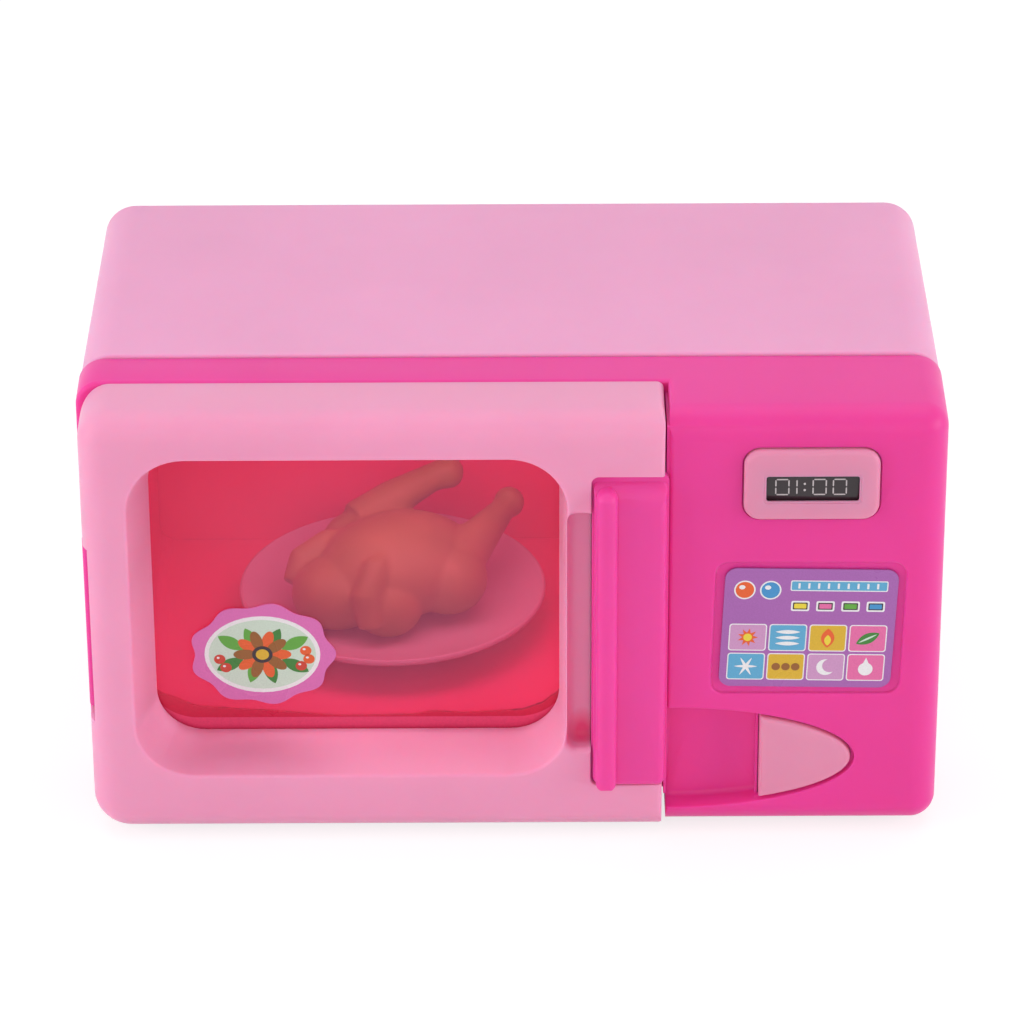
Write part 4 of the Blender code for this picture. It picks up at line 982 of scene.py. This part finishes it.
def make_dish():
    rim, sweep = 0.55, 10
    under, inside = 15.0, 15.5
    start = PLATE_LOW + 0.9
    foot_top = PLATE_LOW + 1.3
    profile = [(PLATE_LOW, 3.6), (foot_top, 3.6), (foot_top, 12.5), (PLATE_LOW, 13.0), (PLATE_LOW, 14.5)]
    for step in range(sweep + 1):
        share = step / sweep
        radius = under + (PLATE_RADIUS - rim - under) * share
        profile.append((start + (PLATE_RIM - 2 * rim - start) * share**1.5, radius))
    for step in range(9):
        angle = -math.pi / 2 + math.pi * step / 8
        profile.append((PLATE_RIM - rim + rim * math.sin(angle), PLATE_RADIUS - rim + rim * math.cos(angle)))
    for step in range(sweep + 1):
        share = 1 - step / sweep
        radius = inside + (PLATE_RADIUS - 2 * rim - inside) * share
        profile.append((PLATE_WELL + (PLATE_RIM - 0.5 * rim - PLATE_WELL) * share**1.6, radius))
    profile.append((PLATE_WELL, 4.0))
    dish = turned("dish", (TABLE_X, TABLE_Y, 0), "Z", profile, 96)
    socket = cylinder("socket", (TABLE_X, TABLE_Y, 0), "Z", 2.3, PLATE_LOW - OVERSHOOT, LOW + 15.2)
    cut(dish, socket)
    finish(dish, DISH_WHITE, "turntable", "turntable_plate", slot="dish_white")


def lump(centre, radii, turn=0.0):
    mesh = bmesh.new()
    stretch = Matrix.Diagonal((*in_metres(radii), 1.0))
    place = Matrix.Translation(in_metres(centre)) @ Matrix.Rotation(turn, 4, "Z") @ stretch
    bmesh.ops.create_uvsphere(mesh, u_segments=40, v_segments=24, radius=1.0, matrix=place)
    return add_object("lump", mesh)


def limb(points, radii):
    return tube("limb", points, radii, 32)


def make_roast():
    """Lumps and limbs, placed about the dish's centre, melted into one skin, then smoothed."""
    low = PLATE_WELL + 0.3

    def at(x, y, height):
        return TABLE_X + x, TABLE_Y + y, low + height

    right_leg = [at(11, -2, 8), at(15.5, 4, 10), at(19, 9.5, 11.6), at(20.4, 12, 12.1)]
    left_leg = [at(-6, 6, 11), at(0, 10, 13.7), at(6.6, 12.8, 16.2), at(9.7, 13.7, 17.0)]
    front_wing = [at(-3.2, -16.1, 3), at(-4, -14.6, 8), at(-2.5, -11.4, 12), at(-0.5, -8.5, 13.1)]
    left_wing = [at(-16.8, -5.3, 5.5), at(-15.4, -2.4, 8.5), at(-11, 1, 10.2), at(-7, 2.5, 10.8)]
    body = lump(at(1, -2, 7.4), (14.3, 11.8, 8.4), 0.5)
    parts = [
        lump(at(-9, -7.5, 5.2), (8.3, 7.8, 6.2), 0.6),
        lump(at(-0.5, -11.4, 4.6), (6.0, 5.7, 5.4), 0.2),
        lump(at(9.5, -4.5, 6.2), (7.0, 7.4, 6.2), 0.3),
        lump(at(-5, 6, 8.4), (7.4, 5.2, 5.0), 0.3),
        limb(right_leg, (5.0, 3.3, 2.2, 2.6)),
        lump(at(20.2, 11.6, 12.0), (2.7, 2.7, 2.8)),
        limb(left_leg, (4.0, 3.3, 2.5, 2.7)),
        lump(at(9.6, 13.6, 16.9), (2.8, 2.8, 2.9)),
        limb(front_wing, (2.4, 2.8, 2.3, 1.1)),
        limb(left_wing, (2.1, 2.6, 2.3, 1.3)),
    ]
    fuse(body, *parts)
    remesh = body.modifiers.new("Remesh", "REMESH")
    remesh.mode = "VOXEL"
    remesh.voxel_size = 0.45 * MM
    smooth = body.modifiers.new("Smooth", "SMOOTH")
    smooth.factor = 0.6
    smooth.iterations = 7
    baked(body)
    for vertex in body.data.vertices:
        vertex.co.z = max(vertex.co.z, low * MM)
    body.name = "roast"
    finish(body, ROAST, "turntable", "roast_chicken", slot="roast_beige", sharp=math.radians(180))


# Window

CUT_EDGE = (
    (-60.8, 22.0), (-57.6, 20.2), (-52.0, 17.9), (-43.5, 17.2), (-27.8, 16.0), (-17.0, 16.15), (-13.0, 16.8),
    (-8.3, 16.45), (1.5, 17.0), (4.8, 18.2), (7.2, 20.1), (9.6, 23.0),
)


def lower_edge(x):
    """Height of the film's hand-cut, waved lower edge."""
    for (start, low), (end, high) in zip(CUT_EDGE, CUT_EDGE[1:]):
        if x <= end:
            share = max(0.0, (x - start) / (end - start))
            eased = share * share * (3 - 2 * share)
            return LOW + low + (high - low) * (share + eased) / 2
    return LOW + CUT_EDGE[-1][1]


def strip_below(name, xs, top, bottom, front, look):
    """A thin strip of the door's seat between two curves of height over x."""
    outline = [(x, bottom(x)) for x in xs] + [(x, max(top(x), bottom(x) + 0.02)) for x in reversed(xs)]
    strip = extruded(name, outline, front, front + FILM_THICK)
    finish(strip, look, "door", slot="film_red")


def make_film():
    """The sheet, whose hand-cut lower edge shows above two strips on the seat: a dark red painted shadow and
    a pink painted shade.
    """
    sheet_box = grown(SEAT, -GAP)
    left, right, low = sheet_box[:3]
    front = SEAT_Y + GAP
    steps = 90
    xs = [left + (right - left) * step / steps for step in range(steps + 1)]
    upper = [(x, z) for x, z in rounded_rect(sheet_box, SEAT_CORNER - GAP) if z > LOW + 40]
    outline = upper + [(x, lower_edge(x)) for x in xs]
    film_sheet = extruded("window_sheet", outline, front, front + FILM_THICK)
    finish(film_sheet, FILM_RED, "door", "window_film", slot="film_red")

    def seat_curve(height, corner):
        """A level line that turns up at the seat's corners."""
        def at(x):
            distance = max(0.0, min(x - left, right - x))
            if distance >= corner:
                return LOW + height
            return LOW + height + corner - math.sqrt(corner**2 - (corner - distance) ** 2)

        return at

    middle = seat_curve(15.8, 8.5)
    # A dark red strip of painted shadow under the film's cut edge
    strip_below("film_shadow_strip", xs, lower_edge, middle, front + 0.05, SEAT_SHADOW_RED)
    bottom = seat_curve(low - LOW, SEAT_CORNER)
    # Below it, a pink strip of painted shade down to the seat
    strip_below("seat_shade_strip", xs, lambda x: min(middle(x), lower_edge(x)), bottom, front + 0.05, SEAT_SHADE_PINK)


# Prints: flat inks on a sticker, each a closed wafer a little prouder than the one under it

INK_STEP = 0.012
WHITE_RIM = 0.18
UPRIGHT = math.pi / 2


def moved(x, z, along, across, turn):
    """The point that lies along a turned direction, and across it, from x, z."""
    return (
        x + along * math.cos(turn) - across * math.sin(turn),
        z + along * math.sin(turn) + across * math.cos(turn),
    )


def oval(x, z, long, short, turn=0.0, points=40):
    angles = [2 * math.pi * index / points for index in range(points)]
    return [moved(x, z, long * math.cos(angle), short * math.sin(angle), turn) for angle in angles]


def star(x, z, outer, inner, tips, turn=0.0):
    outline = []
    for index in range(2 * tips):
        radius = inner if index % 2 else outer
        outline.append(moved(x, z, radius, 0, turn + math.pi * index / tips))
    return outline


def leaf(x, z, length, width, turn):
    """A leaf with two pointed ends."""
    points = 14
    outline = []
    for side in (1, -1):
        for index in range(points):
            share = index / points if side == 1 else 1 - index / points
            across = side * width / 2 * math.sin(math.pi * share) ** 0.8
            outline.append(moved(x, z, length * (share - 0.5), across, turn))
    return outline


def print_sheet(name, back, base, layers, body, node):
    """Builds one sticker of base thickness; layers lists (outline, ink, steps above the base)."""
    mesh = bmesh.new()
    inks = list(dict.fromkeys(ink for outline, ink, step in layers))
    for outline, ink, step in layers:
        front = back - base - step * INK_STEP
        for face in skin(mesh, [at_depth(outline, front), at_depth(outline, back)]):
            face.material_index = inks.index(ink)
    sheet = add_object(name, mesh)
    for ink in inks:
        sheet.data.materials.append(INK[ink])
    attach(sheet, body)
    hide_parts(node)


def tile_motif(kind, x, z):
    """Small plain figures for the programme tiles, the lowest ink first."""
    return {
        "sun": [(star(x, z, 1.7, 0.9, 9), "orange"), (oval(x, z, 0.7, 0.7), "yellow")],
        "drop": [(oval(x, z - 0.3, 1.2, 1.2), "white"), (star(x, z + 0.6, 1.3, 0.5, 3, UPRIGHT), "white")],
        "leaf": [(leaf(x, z, 4.2, 1.9, 0.5), "leaf"), (leaf(x, z, 3.4, 0.35, 0.5), "mint")],
        "waves": [(leaf(x, z + step, 4.0, 0.7, 0.0), "white") for step in (-1.1, 0.0, 1.1)],
        "flake": [(leaf(x, z, 3.8, 0.5, turn * math.pi / 3), "white") for turn in range(3)],
        "moon": [(oval(x, z, 1.5, 1.5), "white"), (oval(x + 0.7, z + 0.3, 1.25, 1.25), "lilac")],
        "flame": [(leaf(x, z, 3.6, 2.2, UPRIGHT), "orange"), (leaf(x, z - 0.4, 2.0, 1.1, UPRIGHT), "yellow")],
        "dots": [(oval(x + step, z, 0.7, 0.7), "brown") for step in (-1.6, 0.0, 1.6)],
    }[kind]


def framed(field, corner, ink):
    """A coloured field on a white rim."""
    return [
        (rounded_rect(grown(field, WHITE_RIM), corner + 0.1, 4), "white", 1),
        (rounded_rect(field, corner, 4), ink, 2),
    ]


def label_tiles(left, low):
    """Eight programme tiles in two rows."""
    kinds = (
        ("sun", "lilac"), ("waves", "sky"), ("flame", "mustard"), ("leaf", "pink"),
        ("flake", "sky"), ("dots", "mustard"), ("moon", "lilac"), ("drop", "pink"),
    )
    half_width, half_height, pitch_x, pitch_z = 2.9, 2.35, 6.55, 5.5
    layers = []
    for index, (kind, ink) in enumerate(kinds):
        row, column = divmod(index, 4)
        x = left + 4.28 + column * pitch_x
        z = low + 3.8 + (1 - row) * pitch_z
        tile = (x - half_width, x + half_width, z - half_height, z + half_height)
        layers += framed(tile, 0.4, ink)
        layers += [(*figure, 3 + step) for step, figure in enumerate(tile_motif(kind, x, z))]
    return layers


def label_top(left, right, high):
    """Two round buttons, a scale bar and four colour swatches."""
    layers = []
    for x, ink in ((left + 3.3, "orange"), (left + 7.5, "blue")):
        z = high - 4.0
        layers.append((oval(x, z, 1.75, 1.75), "white", 1))
        layers.append((oval(x, z, 1.5, 1.5), ink, 2))
        layers.append((oval(x - 0.45, z + 0.5, 0.5, 0.4), "white", 3))
    bar = (left + 10.9, right - 1.8, high - 3.9, high - 2.3)
    layers += framed(bar, 0.2, "sky")
    for step in range(9):
        x = bar[0] + 1.05 + 1.6 * step
        tick = (x, x + 0.35, bar[2] + 0.3, bar[3] - 0.3)
        layers.append((rounded_rect(tick, 0.05, 1), "white", 3))
    for step, ink in enumerate(("yellow", "pink", "green", "blue")):
        x, z = left + 12.5 + 4.1 * step, high - 6.9
        swatch = (x - 1.5, x + 1.5, z - 0.95, z + 0.95)
        layers.append((rounded_rect(swatch, 0.3, 3), "white", 1))
        layers.append((rounded_rect(grown(swatch, -0.3), 0.15, 3), "dark", 2))
        layers.append((rounded_rect(grown(swatch, -0.5), 0.15, 3), ink, 3))
    return layers


def make_control_label():
    left, right, low, high = LABEL
    layers = [(rounded_rect(LABEL, 2.0), "purple", 0)]
    layers += label_tiles(left, low) + label_top(left, right, high)
    sloped = [(leaned(outline, LABEL, LABEL_LEAN), ink, step) for outline, ink, step in layers]
    back = FRONT + 0.45
    print_sheet("control_print", back, 0.25, sloped, "body", "control_label")


def scallop():
    """The badge's outline: an oval that swells into lobes."""
    points, lobes, swell = 108, 9, 0.045
    outline = []
    for index in range(points):
        angle = 2 * math.pi * index / points
        reach = 1 + swell * math.cos(lobes * angle)
        x = STICKER_X + STICKER_LONG * reach * math.cos(angle)
        z = STICKER_Z + STICKER_SHORT * reach * math.sin(angle)
        outline.append((x, z))
    return outline


def make_window_sticker():
    """A round-petalled badge: a brown and orange flower on a pale oval, with leaves and berries."""
    x, z = STICKER_X, STICKER_Z
    layers = [(scallop(), "border", 0), (oval(x, z, 9.6, 7.3), "white", 1), (oval(x, z, 8.9, 6.6), "mint", 2)]
    foliage = (
        (2.6, 6.0, "green"), (3.6, 6.0, "leaf"), (-0.5, 6.2, "leaf"), (0.5, 6.2, "green"),
        (4.4, 4.4, "green"), (5.0, 4.6, "leaf"), (1.1, 4.2, "leaf"), (2.0, 4.2, "green"),
    )
    for turn, reach, ink in foliage:
        centre = (x + reach * math.cos(turn), z + 0.72 * reach * math.sin(turn))
        layers.append((leaf(*centre, 5.0, 2.2, turn), ink, 3))
    petals = 10
    for petal in range(petals):
        turn, odd = 2 * math.pi * petal / petals, petal % 2
        centre = (x + 2.9 * math.cos(turn), z + 2.7 * math.sin(turn))
        layers.append((oval(*centre, 1.9, 0.95, turn), "brown" if odd else "orange", 4.5 if odd else 4))
    layers += [(oval(x, z, 1.7, 1.6), "dark", 5.5), (oval(x, z, 1.1, 1.0), "mustard", 6.5)]
    berries = (
        (-7.1, -0.9, "red"), (-6.1, -2.5, "red"), (6.4, -2.2, "red"),
        (7.2, 0.7, "orange"), (7.7, -0.9, "orange"),
    )
    for right, up, ink in berries:
        berry_x, berry_z = x + right, z + up
        layers.append((oval(berry_x, berry_z, 0.95, 0.9), ink, 4.5))
        layers.append((oval(berry_x - 0.25, berry_z + 0.3, 0.25, 0.2), "white", 5.5))
    print_sheet("badge_print", SEAT_Y + GAP / 2, 0.2, layers, "door", "window_sticker")


SEGMENTS = {"0": "abcdef", "1": "bc"}
DIGIT_WIDE = 2.1
DIGIT_TALL = 2.75
DIGIT_THICK = 0.21


def segment_outline(which, x, z):
    """One bar of a seven-segment digit whose lower left corner is at x, z."""
    level_bar = which in "ad"
    half = DIGIT_THICK / 2
    if level_bar:
        level = z + DIGIT_TALL if which == "a" else z
        start, length = x, DIGIT_WIDE
    else:
        level = x if which in "fe" else x + DIGIT_WIDE
        start, length = (z if which in "ec" else z + DIGIT_TALL / 2), DIGIT_TALL / 2
    end = start + length - DIGIT_THICK
    start += DIGIT_THICK
    near, far = (level - half, level + half) if level_bar else (level + half, level - half)
    bar = [(start - half, level), (start, near), (end, near), (end + half, level), (end, far), (start, far)]
    return bar if level_bar else [(across, along) for along, across in bar]


def make_display():
    plate = slab("display_face", grown(DISPLAY, 1.0), 0.3, DISPLAY_FACE, DISPLAY_FACE + 1.0, 3)
    soften(plate, FINE_EDGE)
    finish(plate, DISPLAY_BLACK, "body", "display_plate", slot="display_black")
    left, low = DISPLAY[0], DISPLAY[2] + 0.95
    outlines = []
    for digit, offset in (("0", 1.55), ("1", 2.85), ("0", 7.55), ("0", 10.8)):
        outlines += [segment_outline(which, left + offset, low) for which in SEGMENTS[digit]]
    outlines += [oval(left + 6.2, low + height, 0.2, 0.2, 0, 14) for height in (0.8, 1.95)]
    mesh = bmesh.new()
    for outline in outlines:
        skin(mesh, [at_depth(outline, DISPLAY_FACE + side * 0.05) for side in (-1, 1)])
    finish(add_object("display_digits", mesh), DIGIT_GREY, "body", slot="display_black")


# Pieces whose construction shape stays, with a better surface

def dress_nodes():
    looks = {
        "oven_liner": LINER_PINK,
        "latch_bracket": WHITE_PART,
        "latch_rocker": WHITE_PART,
        "turntable_spindle": WHITE_PART,
        "door_catch": DOOR_PINK,
    }
    for name, obj in frame["nodes"].items():
        fastener = STEEL if "screw" in name or name == "hinge_pin" else None
        look = looks.get(name, fastener)
        if look:
            obj.data.materials.clear()
            obj.data.materials.append(look)


# Studio

CAMERA_AIM = Vector((0.2, FRONT, LOW + 60.18)) * MM
CAMERA_DISTANCE = 854 * MM
CAMERA_PITCH = math.radians(29.05)
CAMERA_YAW = math.radians(0.09)
CAMERA_ROLL = math.radians(-0.29)
FOCAL_PIXELS = 5296
PHOTO_PIXELS = 1024
SENSOR = 36.0

DIRECT_RAYS = ("Is Camera Ray", "Is Glossy Ray", "Is Transmission Ray")
WHITE = (1, 1, 1, 1)
FLOOR_GREY = (0.82, 0.82, 0.82, 1)
SHADOW_GREY = (0.34, 0.34, 0.34, 1)
FLOOR_SHINE = 0.76
WORLD_LEVEL = 0.51

# Each lamp, in metres and watts: name, place, aim, width and depth, power
LAMPS = (
    ("top_softbox", (0.0, 0.12, 0.85), (0, 0, 0.04), (0.9, 0.7), 2.2),
    ("front_softbox", (-0.1, -0.98, 0.38), (0, -0.03, 0.04), (0.9, 0.6), 1.45),
    ("left_fill", (-0.8, -0.25, 0.25), (-0.03, -0.02, 0.04), (0.5, 0.4), 2.3),
    ("right_fill", (0.8, -0.25, 0.25), (0.03, -0.02, 0.04), (0.5, 0.4), 2.3),
)


def make_camera():
    data = bpy.data.cameras.new("camera")
    data.sensor_width = SENSOR
    data.sensor_fit = "HORIZONTAL"
    data.lens = FOCAL_PIXELS / PHOTO_PIXELS * SENSOR
    data.clip_start = 0.05
    data.clip_end = 20
    camera = put("camera", data)
    yaw, roll = Matrix.Rotation(CAMERA_YAW, 4, "Z"), Matrix.Rotation(CAMERA_ROLL, 4, "Z")
    turn = yaw @ Matrix.Rotation(math.pi / 2 - CAMERA_PITCH, 4, "X") @ roll
    backward = turn.to_3x3() @ Vector((0, 0, CAMERA_DISTANCE))
    camera.matrix_world = Matrix.Translation(CAMERA_AIM + backward) @ turn
    bpy.context.scene.camera = camera


def area_light(name, place, aim, size, power):
    data = bpy.data.lights.new(name, "AREA")
    data.shape = "RECTANGLE"
    data.size, data.size_y = size
    data.energy = power
    light = put(name, data)
    light.location = place
    light.rotation_euler = (Vector(aim) - Vector(place)).to_track_quat("-Z", "Y").to_euler()
    return light


def make_lamps():
    """Soft boxes round the toy, and a small lamp over the dish, which the camera doesn't see."""
    for lamp in LAMPS:
        area_light(*lamp)
    place, aim = in_metres((TABLE_X, TABLE_Y - 16, LOW + 60)), in_metres((TABLE_X, TABLE_Y, LOW + 16))
    fill = area_light("oven_fill", place, aim, (62 * MM, 28 * MM), 0.0165)
    fill.visible_camera = False


def make_floor():
    """A white floor, which rays that see it directly find lit evenly, with the shadow still on it."""
    mesh = bmesh.new()
    bmesh.ops.create_grid(mesh, x_segments=8, y_segments=8, size=4.0)
    floor = add_object("floor", mesh)
    material, tree = new_material("floor_white")
    lit = principled(tree, {"Base Color": FLOOR_GREY, "Roughness": 0.8})
    shadow = add_node(tree, "BsdfDiffuse", {"Color": SHADOW_GREY})
    shine = add_node(tree, "Emission", {"Color": WHITE, "Strength": FLOOR_SHINE})
    seen = add_node(tree, "AddShader", {0: shadow, 1: shine})
    show(tree, mixed(tree, any_ray(tree, *DIRECT_RAYS), lit, seen))
    floor.data.materials.append(material)


def make_world():
    world = bpy.data.worlds.new("studio")
    bpy.context.scene.world = world
    world.use_nodes = True
    tree = world.node_tree
    strength = spread(tree, any_ray(tree, *DIRECT_RAYS), WORLD_LEVEL, 1.0)
    feed(tree, tree.nodes["Background"], {"Color": WHITE, "Strength": strength})


make_camera()
make_floor()
make_world()
make_lamps()
bpy.context.scene.view_settings.view_transform = "Standard"

make_front_frame()
make_rear_shell()
make_door_shell()
make_handle()
make_bezel()
make_button()
make_spring()
make_dish()
make_roast()
make_film()
make_control_label()
make_window_sticker()
make_display()
dress_nodes()
